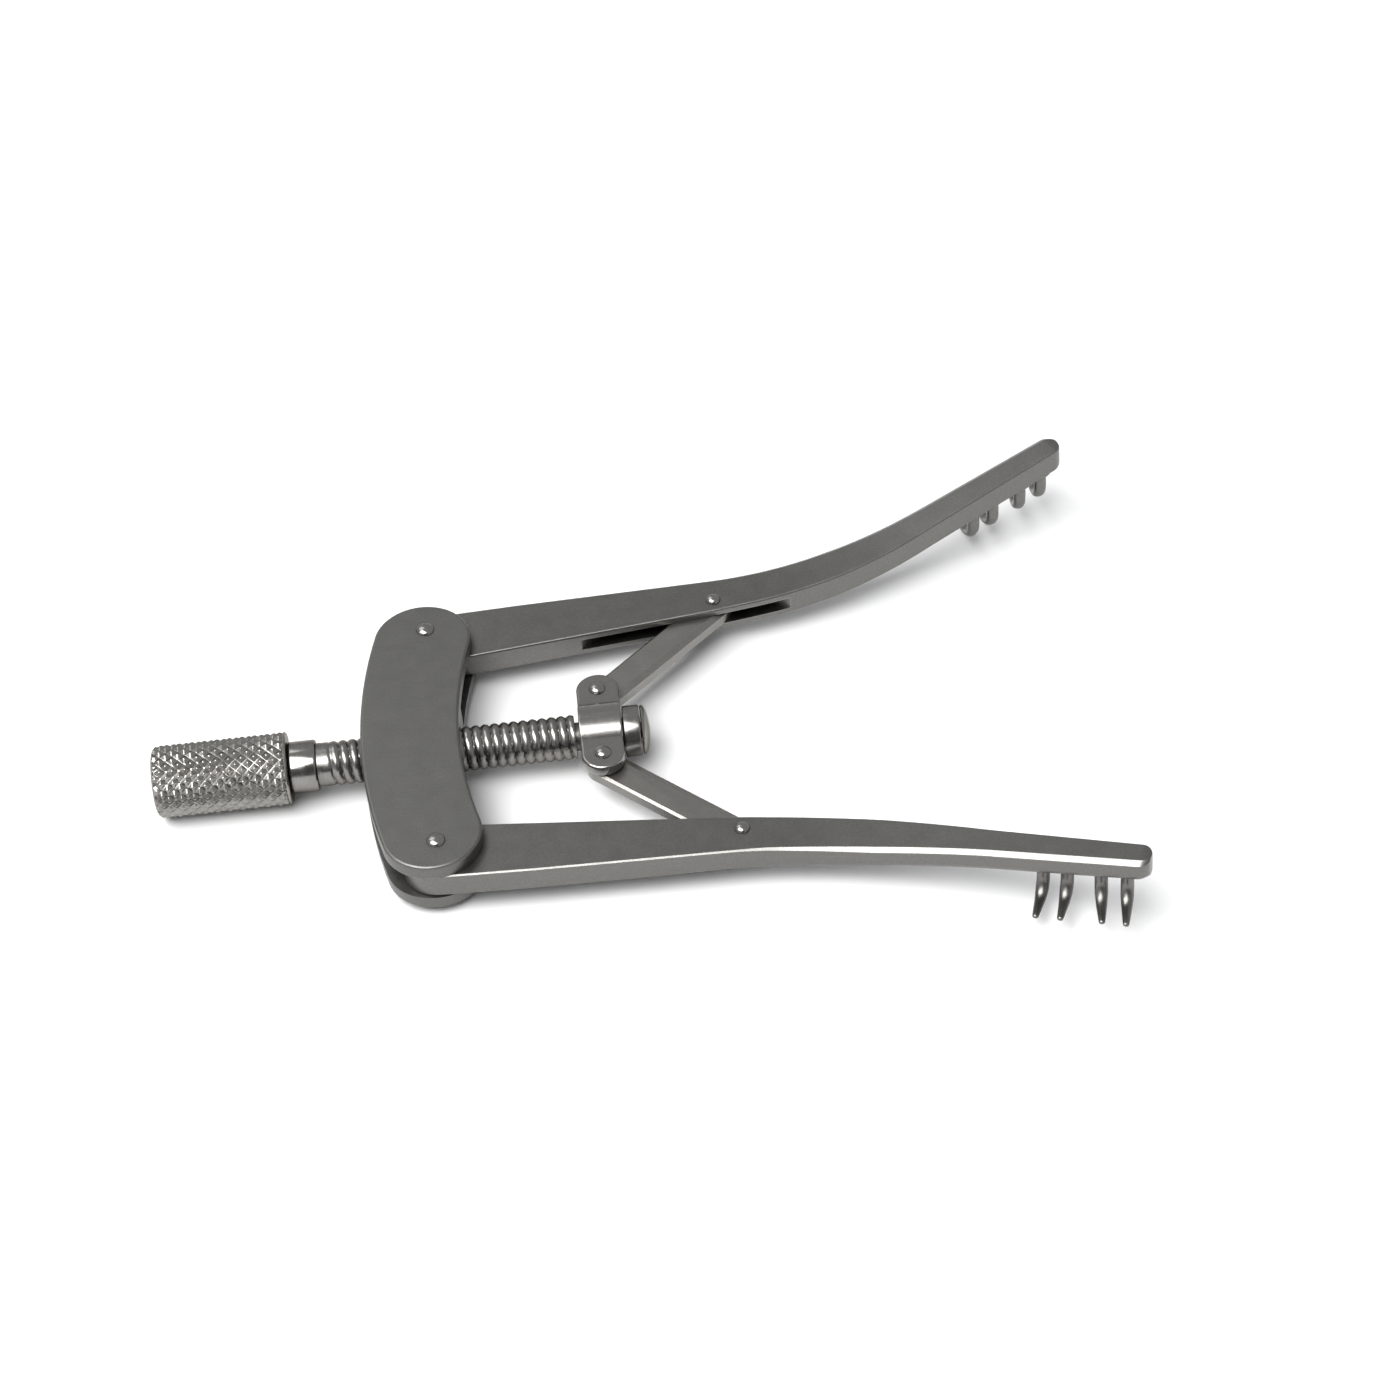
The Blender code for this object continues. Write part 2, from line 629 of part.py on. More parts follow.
# ------------------------------------------------------------------- spindle
def spindle_profile():
    """Run down the outside from the prong end to the knob end."""
    start = COLLAR_END_X + FACE_GAP
    points = [(0.0, start - STUB_DEPTH), (STUB_RADIUS + PIN_FIT, start - STUB_DEPTH)]
    points += [(STUB_RADIUS + PIN_FIT, start), (JOURNAL_RADIUS, start)]
    points += [(JOURNAL_RADIUS, THREAD_END_X), (THREAD_ROOT_RADIUS, THREAD_END_X)]
    turns = int((THREAD_END_X - THREAD_START_X) / THREAD_PITCH)
    for number in range(turns):
        groove = THREAD_END_X - THREAD_PITCH * number
        for share in THREAD_CREST_SHARES:
            points.append((THREAD_CREST_RADIUS, groove - share * THREAD_PITCH))
        points.append((THREAD_ROOT_RADIUS, groove - THREAD_PITCH))
    points += [(SHANK_RADIUS, THREAD_END_X - THREAD_PITCH * turns - FACE_GAP)]
    points += [(SHANK_RADIUS, NECK_END_X + FACE_GAP)]
    points += [(TAIL_RADIUS, NECK_END_X + FACE_GAP), (TAIL_RADIUS, KNOB_END_X - TAIL_DEPTH + FACE_GAP)]
    points.append((0.0, KNOB_END_X - TAIL_DEPTH + FACE_GAP))
    return points


def knob_profile():
    bore = TAIL_RADIUS + PIN_FIT
    points = [(0.0, KNOB_END_X - TAIL_DEPTH), (bore, KNOB_END_X - TAIL_DEPTH), (bore, KNOB_END_X)]
    points += [(KNOB_RADIUS - KNOB_CHAMFER, KNOB_END_X), (KNOB_RADIUS, KNOB_END_X - KNOB_CHAMFER)]
    for inwards, along in KNOB_ROUND:
        points.append((KNOB_RADIUS - inwards * KNOB_CHAMFER, KNOB_START_X + along * KNOB_CHAMFER))
    points.append((0.0, KNOB_START_X))
    return points


def ring_profile(bore, radius, start, end, chamfer):
    """A ring's closed section, run down its outer side and back up its bore."""
    outside = [(radius - chamfer, end), (radius, end - chamfer), (radius, start + chamfer)]
    return [(bore, end), *outside, (radius - chamfer, start), (bore, start)]


def button_profile():
    stub_end = COLLAR_END_X + FACE_GAP - STUB_DEPTH + FACE_GAP
    back = COLLAR_END_X + 2 * FACE_GAP
    points = [(0.0, BUTTON_END_X)]
    for share, depth in BUTTON_DOME:
        points.append((share * BUTTON_RADIUS, BUTTON_END_X - depth))
    points += [(BUTTON_RADIUS, BUTTON_END_X - BUTTON_RIM_DEPTH), (BUTTON_RADIUS, back + BUTTON_CHAMFER)]
    points += [(BUTTON_RADIUS - BUTTON_CHAMFER, back), (STUB_RADIUS, back)]
    points += [(STUB_RADIUS, stub_end), (0.0, stub_end)]
    return points


def build_spindle(spin):
    neck = ring_profile(TAIL_RADIUS + PIN_FIT, NECK_RADIUS, NECK_START_X, NECK_END_X, NECK_CHAMFER)
    collar = ring_profile(
        JOURNAL_RADIUS + PIN_FIT, COLLAR_RADIUS, COLLAR_START_X, COLLAR_END_X, COLLAR_CHAMFER,
    )
    turned = (
        ("drive_spindle", spindle_profile(), spindle_steel, THREAD_STEPS),
        ("knurled_knob", knob_profile(), knob_steel, KNOB_STEPS),
        ("neck_collar", neck, spindle_steel, ROUND_STEPS),
        ("retaining_collar", collar, spindle_steel, ROUND_STEPS),
        ("end_button", button_profile(), spindle_steel, ROUND_STEPS),
    )
    for name, profile, material, steps in turned:
        turned_part(name, profile, material, (-SWIVEL_X, 0.0, 0.0), steps, along_x=True, parent=spin)


# ------------------------------------------------------------------ assembly
clear_scene()
parts = make_collection(OBJECT_NAME)
cutters = make_collection(OBJECT_NAME + "_cutters")

yoke_steel = steel("satin_yoke_steel", (0.30, 0.295, 0.285), 0.42)
arm_steel = steel("satin_arm_steel", (0.34, 0.335, 0.325), 0.38)
link_steel = steel("satin_link_steel", (0.34, 0.33, 0.32), 0.36)
swivel_steel = steel("polished_swivel_steel", (0.48, 0.47, 0.46), 0.24)
spindle_steel = steel("polished_spindle_steel", (0.50, 0.49, 0.47), 0.22)
knob_steel = steel("knurled_knob_steel", (0.58, 0.57, 0.54), 0.34)
rivet_steel = steel("rivet_steel", (0.42, 0.41, 0.40), 0.28)

carriage_empty = add_empty("swivel_carriage", (SWIVEL_X, 0.0, SPINDLE_Z))
spin_empty = add_empty("spindle_spin", (0.0, 0.0, 0.0), carriage_empty)

build_yoke()
build_swivel(carriage_empty)
build_spindle(spin_empty)
for arm_side, arm_name in ((1, "left"), (-1, "right")):
    built_arm = build_arm(arm_side, arm_name)
    build_link(arm_side, arm_name, carriage_empty)
    build_rivets(arm_side, arm_name, built_arm, carriage_empty)
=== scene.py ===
import json
import math

import bmesh
import bpy
from mathutils import Matrix, Vector


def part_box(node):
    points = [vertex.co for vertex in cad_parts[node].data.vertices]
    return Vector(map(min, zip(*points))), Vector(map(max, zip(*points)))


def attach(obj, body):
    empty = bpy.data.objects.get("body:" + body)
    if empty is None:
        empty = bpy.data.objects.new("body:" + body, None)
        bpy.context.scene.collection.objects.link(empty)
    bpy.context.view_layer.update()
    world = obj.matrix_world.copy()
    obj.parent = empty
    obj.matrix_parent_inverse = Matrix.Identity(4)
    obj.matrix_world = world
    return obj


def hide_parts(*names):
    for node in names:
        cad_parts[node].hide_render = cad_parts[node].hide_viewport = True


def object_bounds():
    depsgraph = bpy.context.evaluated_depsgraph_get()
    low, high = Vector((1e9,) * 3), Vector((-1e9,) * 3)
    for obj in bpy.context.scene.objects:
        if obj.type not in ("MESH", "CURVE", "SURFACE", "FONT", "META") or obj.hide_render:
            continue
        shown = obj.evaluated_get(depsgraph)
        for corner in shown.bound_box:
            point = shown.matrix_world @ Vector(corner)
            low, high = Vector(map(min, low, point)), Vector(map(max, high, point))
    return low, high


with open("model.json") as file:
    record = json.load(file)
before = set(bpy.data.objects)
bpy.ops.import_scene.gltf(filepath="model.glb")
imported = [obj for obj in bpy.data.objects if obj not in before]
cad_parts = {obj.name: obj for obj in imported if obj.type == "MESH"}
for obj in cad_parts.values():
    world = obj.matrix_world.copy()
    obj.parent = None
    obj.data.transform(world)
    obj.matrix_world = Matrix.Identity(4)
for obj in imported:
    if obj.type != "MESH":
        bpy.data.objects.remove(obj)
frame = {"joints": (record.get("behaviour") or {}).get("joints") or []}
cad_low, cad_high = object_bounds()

MM = 0.001


# ---------------------------------------------------------- places from the frame
def joint_place(name):
    joint = next(joint for joint in frame["joints"] if joint["name"] == name)
    return Vector(joint["pos_m"]) / MM


def node_box(name):
    low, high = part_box(name)
    return low / MM, high / MM


PIVOT_Y = joint_place("left_arm_swing").y
SPINDLE_Z = joint_place("left_arm_swing").z
SWIVEL_X = joint_place("left_link_swing").x
SWIVEL_PIN_Y = joint_place("left_link_swing").y
YOKE_TOP = node_box("yoke_body")[1].z
KNOB_LOW, KNOB_HIGH = node_box("knurled_knob")
NECK_LOW, NECK_HIGH = node_box("neck_collar")
COLLAR_LOW, COLLAR_HIGH = node_box("retaining_collar")
BUTTON_LOW, BUTTON_HIGH = node_box("end_button")
LINK_PIN_LOW, LINK_PIN_HIGH = node_box("left_link_rivet")
SADDLE_LOW, SADDLE_HIGH = node_box("swivel_saddle")

# ------------------------------------------------------------------- dimensions
# Yoke
YOKE_HALF_THICKNESS = YOKE_TOP / 2
YOKE_HALF_WIDTH = 5.2
YOKE_MID_RADIUS = 58.9
YOKE_FRONT_X = 3.0
YOKE_END_Y = 14.45
YOKE_SLOT_START_Y = 4.8
YOKE_SLOT_HALF_HEIGHT = 1.47
YOKE_EDGE = 0.32
BORE_RADIUS = 2.4

# Arms, in the arm's own frame: pivot at the origin, X forwards, Y outwards
ARM_HALF_THICKNESS = 1.42
ARM_ROOT_RADIUS = 3.7
ARM_ROOT_HEADING = math.radians(3.9)
ARM_TIP_HEADING = math.radians(24.6)
ARM_SHANK_LENGTH = 29.0
ARM_BEND_RADIUS = 72.0
ARM_TIP_LENGTH = 18.3
ARM_OUTER_HALVES = ((0.0, 3.7), (10.0, 3.45), (33.5, 2.45), (45.0, 2.35), (56.5, 1.8), (73.7, 1.5))
ARM_INNER_HALVES = ((0.0, 3.7), (33.5, 2.25), (45.0, 2.15), (56.5, 1.7), (73.7, 1.4))
ARM_RISE_START_X = 35.5
ARM_RISE_END_X = 54.0
ARM_RISE_RADIUS = 98.0
ARM_TIP_ROUND = 1.2
ARM_TIP_DROP = 0.25       # the nose is this much thinner at each face
ARM_SLOT_RADIUS = 18.0
ARM_SLOT_CENTRE = (29.8, -14.0)
ARM_SLOT_HALF_HEIGHT = 0.7
ARM_FACET_SLOPE = 0.65   # the outer top facet falls this much for its width
ARM_OUTER_FACETS = ((0.0, 0.2), (30.0, 0.22), (45.0, 0.55), (73.7, 0.6))
ARM_OUTER_UNDERS = ((0.0, 0.3), (20.0, 0.4), (35.0, 0.7), (48.0, 1.2), (73.7, 1.2))
ARM_INNER_FACET = (0.12, 0.16)    # width and depth
ARM_INNER_UNDER = 0.3
ARM_OUTER_ROUND = 0.1
ARM_INNER_ROUND = 0.3
ARM_EDGE_SHARE = 0.45    # the most of a half width that an edge may take
CORNER_SHARE = 0.48      # the most of a side that a rounded corner may take
LINK_PIN_X = (LINK_PIN_LOW.x + LINK_PIN_HIGH.x) / 2
LINK_PIN_Y = (LINK_PIN_LOW.y + LINK_PIN_HIGH.y) / 2 - PIVOT_Y

# Prongs: distance along the arm, and how far each leans back, in degrees
PRONGS = ((62.0, 20.0), (64.5, 19.0), (68.0, 8.0), (70.7, 11.0))
PRONG_ROOT_Y = -0.6      # the prong's root, inwards of the arm's middle line
PRONG_BEND_RADIUS = 2.2
PRONG_DROP = 3.85
PRONG_REACH = 4.35
PRONG_HALF_WIDTH = 0.68
PRONG_HALF_DEPTH = 0.52
PRONG_TIP_SCALE = 0.5
PRONG_TIP_ROUND = 0.3
PRONG_TAPER_START = 0.3 * PRONG_BEND_RADIUS
PRONG_FLARE = ((0.85, 1.3), (0.1, 1.75), (-0.1, 1.4), (-0.3, 1.15), (-0.55, 1.03))   # (up, scale)

# Swivel saddle
SWIVEL_HALF_LENGTH = (SADDLE_HIGH.x - SADDLE_LOW.x) / 2
SWIVEL_BARREL_RADIUS = 3.3
SWIVEL_FLAT_Y = 2.8
EAR_BOTTOM = 0.7
EAR_TOP = 2.05
JOURNAL_BORE = 1.55
BARREL_EDGE = 0.18
EAR_EDGE = 0.28

# Links
LINK_HALF_WIDTH = 1.8
LINK_HALF_THICKNESS = 0.65
LINK_ARM_HOLE_RADIUS = 1.32
LINK_EDGE = 0.1
LINK_FRONT_FACET = (0.7, 0.28)    # width and depth
LINK_REAR_FACET = (0.26, 0.17)
WEDGE_MARGIN = 0.5
WEDGE_OVERRUN = 4

# Rivets
PIVOT_RIVET_RADIUS = 0.8
LINK_RIVET_RADIUS = 0.62
SWIVEL_RIVET_RADIUS = 0.7
PIN_FIT = 0.05
RIVET_HEAD_EXTRA = 0.12
RIVET_DOME = 0.5

# Spindle
THREAD_PITCH = 1.0
THREAD_CREST_RADIUS = 2.35
THREAD_ROOT_RADIUS = 2.1
THREAD_START_X = -11.2
THREAD_FULLNESS = 2.0   # broad round crests, narrow grooves
THREAD_END_X = 15.0
THREAD_RINGS = 14         # rings of points for each pitch
SHANK_RADIUS = 2.3
TAIL_RADIUS = 1.75
TAIL_DEPTH = 10.9         # how far the tail goes into the knob
TAIL_BORE_DEPTH = 11.0
JOURNAL_RADIUS = 1.5
STUB_RADIUS = 0.8
STUB_DEPTH = 1.6
BUTTON_EDGE = 0.12
NECK_EDGE = 0.25
COLLAR_EDGE = 0.14
FACE_GAP = 0.05

# Knurl: ridges round the knob, and the distance between them along it
KNURL_RIDGES = 18
KNURL_PITCH = 1.32
KNURL_DEPTH = 0.32
KNURL_MARGIN = 0.2
KNURL_FULLNESS = 1.15     # how much of each diamond's point is flattened
KNURL_STEPS = 16
KNOB_REAR_ROUND = (0.8, 1.0)    # along the knob and across it
KNOB_FRONT_EDGE = 0.25

# Light: the even room, its dim side and the way to that side
ROOM_LIGHT = 0.58
DIM_LIGHT = 0.17
DIM_SIDE = Vector((0.05, -0.93, 0.37))
DIM_SPREAD = (math.radians(32.0), math.radians(13.0))
ROOM_COLOUR = (0.98, 0.99, 1.0, 1.0)
SOFTBOXES = (    # name, place in metres, size in metres, power in watts
    ("overhead", (-0.35, -0.3, 0.9), (1.0, 0.7), 19.0),
    ("fill", (-0.42, 0.58, 0.84), (0.5, 0.5), 1.6),
)
FLOOR_COLOURS = ((0.71, 0.71, 0.71), (0.69, 0.69, 0.69))
FLOOR_DENSITY = 0.01
FLOOR_SIZE = 3.0          # metres, half a side
FLOOR_GAP = 0.0001        # metres under the lowest piece

# Satin steel: densities are features a millimetre, depths and reaches millimetres
SPECKLE_DENSITY = 5.5
SPECKLE_CONTRAST = 0.1
CLOUD_DENSITY = 0.09
BLOTCH_DENSITY = 0.5
WEAR_DENSITY = 1.3
WORN_POLISH = 0.1
SCRATCH_SETS = ((0.35, 9.0), (-1.1, 7.0))    # direction in radians and density
SCRATCH_STRETCH = (0.06, 1.0, 1.0)
SCRATCH_CRESTS = (0.64, 0.70)
SCRATCH_SHARE = 0.35
SCRATCH_DEPTH = 0.004
SCRATCH_STRENGTH = 0.35
# Painted shade in corners and gaps: how far it reaches, how much of it shows, its dark colour and the
# roughness added there
CREVICE_SHADE_REACH = 0.9
CREVICE_SHADE_SHARE = 0.55
CREVICE_SHADE_COLOUR = (0.035, 0.032, 0.028)
CREVICE_SHADE_ROUGHNESS = 0.15
BLAST_DENSITY = 14.0
BLAST_DEPTH = 0.012
BLAST_STRENGTH = 0.35
DENT_DENSITY = 0.35
DENT_DEPTH = 0.01
DENT_STRENGTH = 0.1

# Turned steel
GLANCING_TINT = (0.5, 0.48, 0.45, 1.0)    # dim at a glancing angle
RING_DENSITY = 7.0
RING_STRETCH = (1.0, 0.04, 0.04)
RING_DEPTH = 0.006
TURNED_CLOUD_DENSITY = 0.6
TURNED_BLOTCH_DENSITY = 0.9
TURNED_WEAR = 0.08
TURNED_WEAR_SHARE = 0.6
# Painted shade in the turned parts' grooves and gaps: how far it reaches, how much of it shows, its dark
# colour and the roughness added there
TURNED_CREVICE_SHADE_REACH = 0.7
TURNED_CREVICE_SHADE_SHARE = 0.7
TURNED_CREVICE_SHADE_COLOUR = (0.03, 0.027, 0.024)
TURNED_CREVICE_SHADE_ROUGHNESS = 0.2
PIT_DENSITY = 9.0
PIT_DEPTH = 0.008
PIT_STRENGTH = 0.25

# Camera
CAMERA_FROM_SPINDLE = Vector((23.70, -300.63, 293.73))
CAMERA_ELEVATION = math.radians(44.0)
CAMERA_AZIMUTH = math.radians(0.892)
CAMERA_ROLL = math.radians(5.617)
FOCAL_LENGTH = 102.857
SENSOR_WIDTH = 36.0

# Fineness of the round parts
SMOOTH_ANGLE = math.radians(32.0)
ARM_SMOOTH_ANGLE = math.radians(17.0)
ARC_STEPS = 24
RIVET_STEPS = 48
TURN_STEPS = 96
PRONG_STEPS = 28
ARM_CORNER_STEPS = 6
ARM_ROOT_STEPS = 14
ARM_ROOT_START = 0.4      # a share of a step, so that the root ends in a small face
ARM_BODY_STEPS = 72
ARM_TIP_STEPS = 9
DOME_STEPS = 12
PRONG_BEND_STEPS = 12
RIVET_DOME_STEPS = 10
KNOB_ROUND_STEPS = 8
EDGE_STEPS = 5

# Cutting and joining
OVERCUT = 1.0             # how far a cutter runs past what it cuts
OUTLINE_MERGE = 0.000001  # metres
MERGE = 0.0000005         # metres
FLAT_ANGLE = math.radians(0.5)


# ------------------------------------------------------------------- materials
def socket_value(node, name, value):
    node.inputs[name].default_value = value


class MaterialNodes:
    """Adds nodes to one material and links them, left to right."""

    def __init__(self, name):
        self.material = bpy.data.materials.new(name)
        self.material.use_nodes = True
        self.tree = self.material.node_tree
        self.shader = self.tree.nodes["Principled BSDF"]
        self.place = self.add("ShaderNodeTexCoord").outputs["Object"]

    def add(self, kind, **settings):
        node = self.tree.nodes.new(kind)
        for key, value in settings.items():
            setattr(node, key, value)
        return node

    def link(self, source, target):
        self.tree.links.new(source, target)

    def noise(self, scale, detail=2.0, roughness=0.5, stretch=(1.0, 1.0, 1.0), turn=0.0):
        """Noise with a scale in features a millimetre, stretched along the frame's axes."""
        mapping = self.add("ShaderNodeMapping")
        socket_value(mapping, "Scale", tuple(scale * axis / MM for axis in stretch))
        socket_value(mapping, "Rotation", (0.0, 0.0, turn))
        self.link(self.place, mapping.inputs["Vector"])
        texture = self.add("ShaderNodeTexNoise")
        socket_value(texture, "Scale", 1.0)
        socket_value(texture, "Detail", detail)
        socket_value(texture, "Roughness", roughness)
        self.link(mapping.outputs["Vector"], texture.inputs["Vector"])
        return texture.outputs["Fac"]

    def remap(self, value, low, high, to_low, to_high):
        node = self.add("ShaderNodeMapRange")
        socket_value(node, "From Min", low)
        socket_value(node, "From Max", high)
        socket_value(node, "To Min", to_low)
        socket_value(node, "To Max", to_high)
        self.link(value, node.inputs["Value"])
        return node.outputs["Result"]

    def calculate(self, operation, first, second):
        node = self.add("ShaderNodeMath", operation=operation)
        for socket, value in zip(node.inputs, (first, second)):
            if isinstance(value, float):
                socket.default_value = value
            else:
                self.link(value, socket)
        return node.outputs["Value"]

    def tint(self, factor, colour, previous):
        """Blend a colour over the previous one by a factor."""
        node = self.add("ShaderNodeMix", data_type="RGBA")
        self.link(factor, node.inputs["Factor"])
        if isinstance(previous, tuple):
            node.inputs["A"].default_value = (*previous, 1.0)
        else:
            self.link(previous, node.inputs["A"])
        node.inputs["B"].default_value = (*colour, 1.0)
        return node.outputs["Result"]

    def edges(self, width):
        """One on a worn edge, nought on a flat face."""
        rounded = self.add("ShaderNodeBevel", samples=4)
        socket_value(rounded, "Radius", width * MM)
        flat = self.add("ShaderNodeNewGeometry")
        likeness = self.add("ShaderNodeVectorMath", operation="DOT_PRODUCT")
        self.link(rounded.outputs["Normal"], likeness.inputs[0])
        self.link(flat.outputs["Normal"], likeness.inputs[1])
        return self.remap(likeness.outputs["Value"], 0.985, 0.90, 0.0, 1.0)

    def crevices(self, reach):
        """One deep in a corner or gap, nought in the open: a mask for painted shade."""
        shade = self.add("ShaderNodeAmbientOcclusion", samples=8)
        socket_value(shade, "Distance", reach * MM)
        return self.remap(shade.outputs["AO"], 0.25, 0.95, 1.0, 0.0)

    def bump(self, height, depth, strength, before=None):
        node = self.add("ShaderNodeBump")
        socket_value(node, "Strength", strength)
        socket_value(node, "Distance", depth * MM)
        self.link(height, node.inputs["Height"])
        if before is not None:
            self.link(before, node.inputs["Normal"])
        return node.outputs["Normal"]


def scaled(colour, factor):
    """A colour made lighter or darker."""
    return tuple(min(1.0, channel * factor) for channel in colour)


def scratches(nodes, turn, density):
    """Sparse hairlines in one direction: thin crests of strongly stretched noise."""
    lines = nodes.noise(density, detail=3.0, roughness=0.6, stretch=SCRATCH_STRETCH, turn=turn)
    return nodes.remap(lines, *SCRATCH_CRESTS, 0.0, 1.0)


def steel(name, colour, roughness, polish=0.0, wear=0.12):
    """Satin to polished stainless steel.

    polish is how much of the blotchy roughness is left out, wear the width of bright
    edges in millimetres; these edges are lightened for wear and as a painted highlight.
    """
    nodes = MaterialNodes(name)
    shader = nodes.shader
    shader.inputs["Metallic"].default_value = 1.0
    speckle = nodes.noise(SPECKLE_DENSITY, detail=3.0, roughness=0.7)
    speckle = nodes.remap(speckle, 0.36, 0.64, 0.0, 1.0)
    light, dark = (scaled(colour, 1.0 + contrast) for contrast in (SPECKLE_CONTRAST, -SPECKLE_CONTRAST))
    tone = nodes.tint(speckle, light, dark)
    cloud = nodes.noise(CLOUD_DENSITY, detail=4.0, roughness=0.55)
    tone = nodes.tint(nodes.remap(cloud, 0.38, 0.66, 0.0, 0.25), scaled(colour, 0.92), tone)
    first, second = (scratches(nodes, turn, density) for turn, density in SCRATCH_SETS)
    lines = nodes.calculate("MAXIMUM", first, second)
    tone = nodes.tint(nodes.calculate("MULTIPLY", lines, SCRATCH_SHARE), scaled(colour, 1.5), tone)
    # Painted shade: the base colour darkens towards a near black in corners and gaps
    crevice_shade = nodes.crevices(CREVICE_SHADE_REACH)
    tone = nodes.tint(nodes.calculate("MULTIPLY", crevice_shade, CREVICE_SHADE_SHARE), CREVICE_SHADE_COLOUR, tone)
    # Edge wear and a painted highlight: the edges' base colour is lightened, in patches
    patches = nodes.remap(nodes.noise(WEAR_DENSITY, detail=3.0, roughness=0.6), 0.35, 0.60, 0.35, 1.0)
    bright_edges = nodes.calculate("MULTIPLY", nodes.edges(wear), patches)
    tone = nodes.tint(bright_edges, scaled(colour, 1.8), tone)
    nodes.link(tone, shader.inputs["Base Color"])
    blotch = nodes.noise(BLOTCH_DENSITY, detail=4.0, roughness=0.6)
    smoothest = roughness - 0.03 * (1.0 - polish)
    roughest = roughness + 0.04 * (1.0 - polish)
    rough = nodes.remap(blotch, 0.35, 0.68, smoothest, roughest)
    rough = nodes.calculate("SUBTRACT", rough, nodes.calculate("MULTIPLY", bright_edges, WORN_POLISH))
    rough = nodes.calculate("ADD", rough, nodes.calculate("MULTIPLY", crevice_shade, CREVICE_SHADE_ROUGHNESS))
    nodes.link(rough, shader.inputs["Roughness"])
    blasted = nodes.bump(nodes.noise(BLAST_DENSITY, detail=2.0), BLAST_DEPTH, BLAST_STRENGTH)
    scored = nodes.bump(lines, SCRATCH_DEPTH, SCRATCH_STRENGTH, blasted)
    dents = nodes.bump(nodes.noise(DENT_DENSITY, detail=2.0), DENT_DEPTH, DENT_STRENGTH, scored)
    nodes.link(dents, shader.inputs["Normal"])
    return nodes.material


def turned_steel(name, colour, roughness, ring_strength):
    """Polished steel from a lathe: faint rings round the spindle's axis."""
    nodes = MaterialNodes(name)
    shader = nodes.shader
    shader.inputs["Metallic"].default_value = 1.0
    shader.inputs["Specular Tint"].default_value = GLANCING_TINT
    rings = nodes.noise(RING_DENSITY, detail=4.0, roughness=0.7, stretch=RING_STRETCH)
    cloud = nodes.noise(TURNED_CLOUD_DENSITY, detail=4.0, roughness=0.6)
    tone = nodes.tint(nodes.remap(cloud, 0.38, 0.66, 0.0, 0.6), scaled(colour, 0.78), colour)
    tone = nodes.tint(nodes.remap(rings, 0.42, 0.62, 0.0, 0.35), scaled(colour, 0.7), tone)
    # Painted shade: the base colour darkens in grooves and gaps, such as the thread's and the knurl's
    crevice_shade = nodes.crevices(TURNED_CREVICE_SHADE_REACH)
    tone = nodes.tint(nodes.calculate("MULTIPLY", crevice_shade, TURNED_CREVICE_SHADE_SHARE), TURNED_CREVICE_SHADE_COLOUR, tone)
    bright_edges = nodes.calculate("MULTIPLY", nodes.edges(TURNED_WEAR), TURNED_WEAR_SHARE)
    tone = nodes.tint(bright_edges, scaled(colour, 1.4), tone)
    nodes.link(tone, shader.inputs["Base Color"])
    rough = nodes.noise(TURNED_BLOTCH_DENSITY, detail=4.0, roughness=0.65)
    rough = nodes.remap(rough, 0.35, 0.68, roughness - 0.05, roughness + 0.10)
    rough = nodes.calculate("ADD", rough, nodes.calculate("MULTIPLY", crevice_shade, TURNED_CREVICE_SHADE_ROUGHNESS))
    nodes.link(rough, shader.inputs["Roughness"])
    turned_bump = nodes.bump(rings, RING_DEPTH, ring_strength)
    pitted = nodes.bump(nodes.noise(PIT_DENSITY, detail=2.0), PIT_DEPTH, PIT_STRENGTH, turned_bump)
    nodes.link(pitted, shader.inputs["Normal"])
    return nodes.material


# -------------------------------------------------------------------- builders
def make_object(name, mesh):
    piece = bpy.data.objects.new(name, mesh)
    bpy.context.scene.collection.objects.link(piece)
    return piece


def add_piece(name, mesh, material, body, node, smooth_angle=SMOOTH_ANGLE):
    """Show a mesh in place of one CAD node."""
    mesh.name = name
    mesh.materials.clear()
    mesh.materials.append(material)
    mesh.shade_smooth()
    mesh.set_sharp_from_angle(angle=smooth_angle)
    piece = make_object(name, mesh)
    normals = piece.modifiers.new("face_weighted_normals", "WEIGHTED_NORMAL")
    normals.keep_sharp = True
    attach(piece, body)
    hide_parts(node)
    return piece


def mesh_of(shape, name):
    bmesh.ops.recalc_face_normals(shape, faces=shape.faces)
    mesh = bpy.data.meshes.new(name)
    shape.to_mesh(mesh)
    shape.free()
    return mesh


def baked(holder):
    """The mesh that an object's curve or modifiers make; the object is then removed."""
    bpy.context.view_layer.update()
    evaluated = holder.evaluated_get(bpy.context.evaluated_depsgraph_get())
    mesh = bpy.data.meshes.new_from_object(evaluated)
    bpy.data.objects.remove(holder)
    return mesh


def combined(name, mesh, tools):
    """Cut or join a list of (mesh, operation) with a mesh, exactly."""
    holder = make_object(name, mesh)
    others = []
    for tool, operation in tools:
        other = make_object(name + "_tool", tool)
        modifier = holder.modifiers.new("combine", "BOOLEAN")
        modifier.operation = operation
        modifier.solver = "EXACT"
        modifier.object = other
        others.append(other)
    result = baked(holder)
    for other in others:
        bpy.data.objects.remove(other)
    return result


def bevelled(name, mesh, width, segments, angle=math.radians(50.0)):
    holder = make_object(name, mesh)
    edge = holder.modifiers.new("round_edges", "BEVEL")
    edge.width = width * MM
    edge.segments = segments
    edge.limit_method = "ANGLE"
    edge.angle_limit = angle
    return baked(holder)


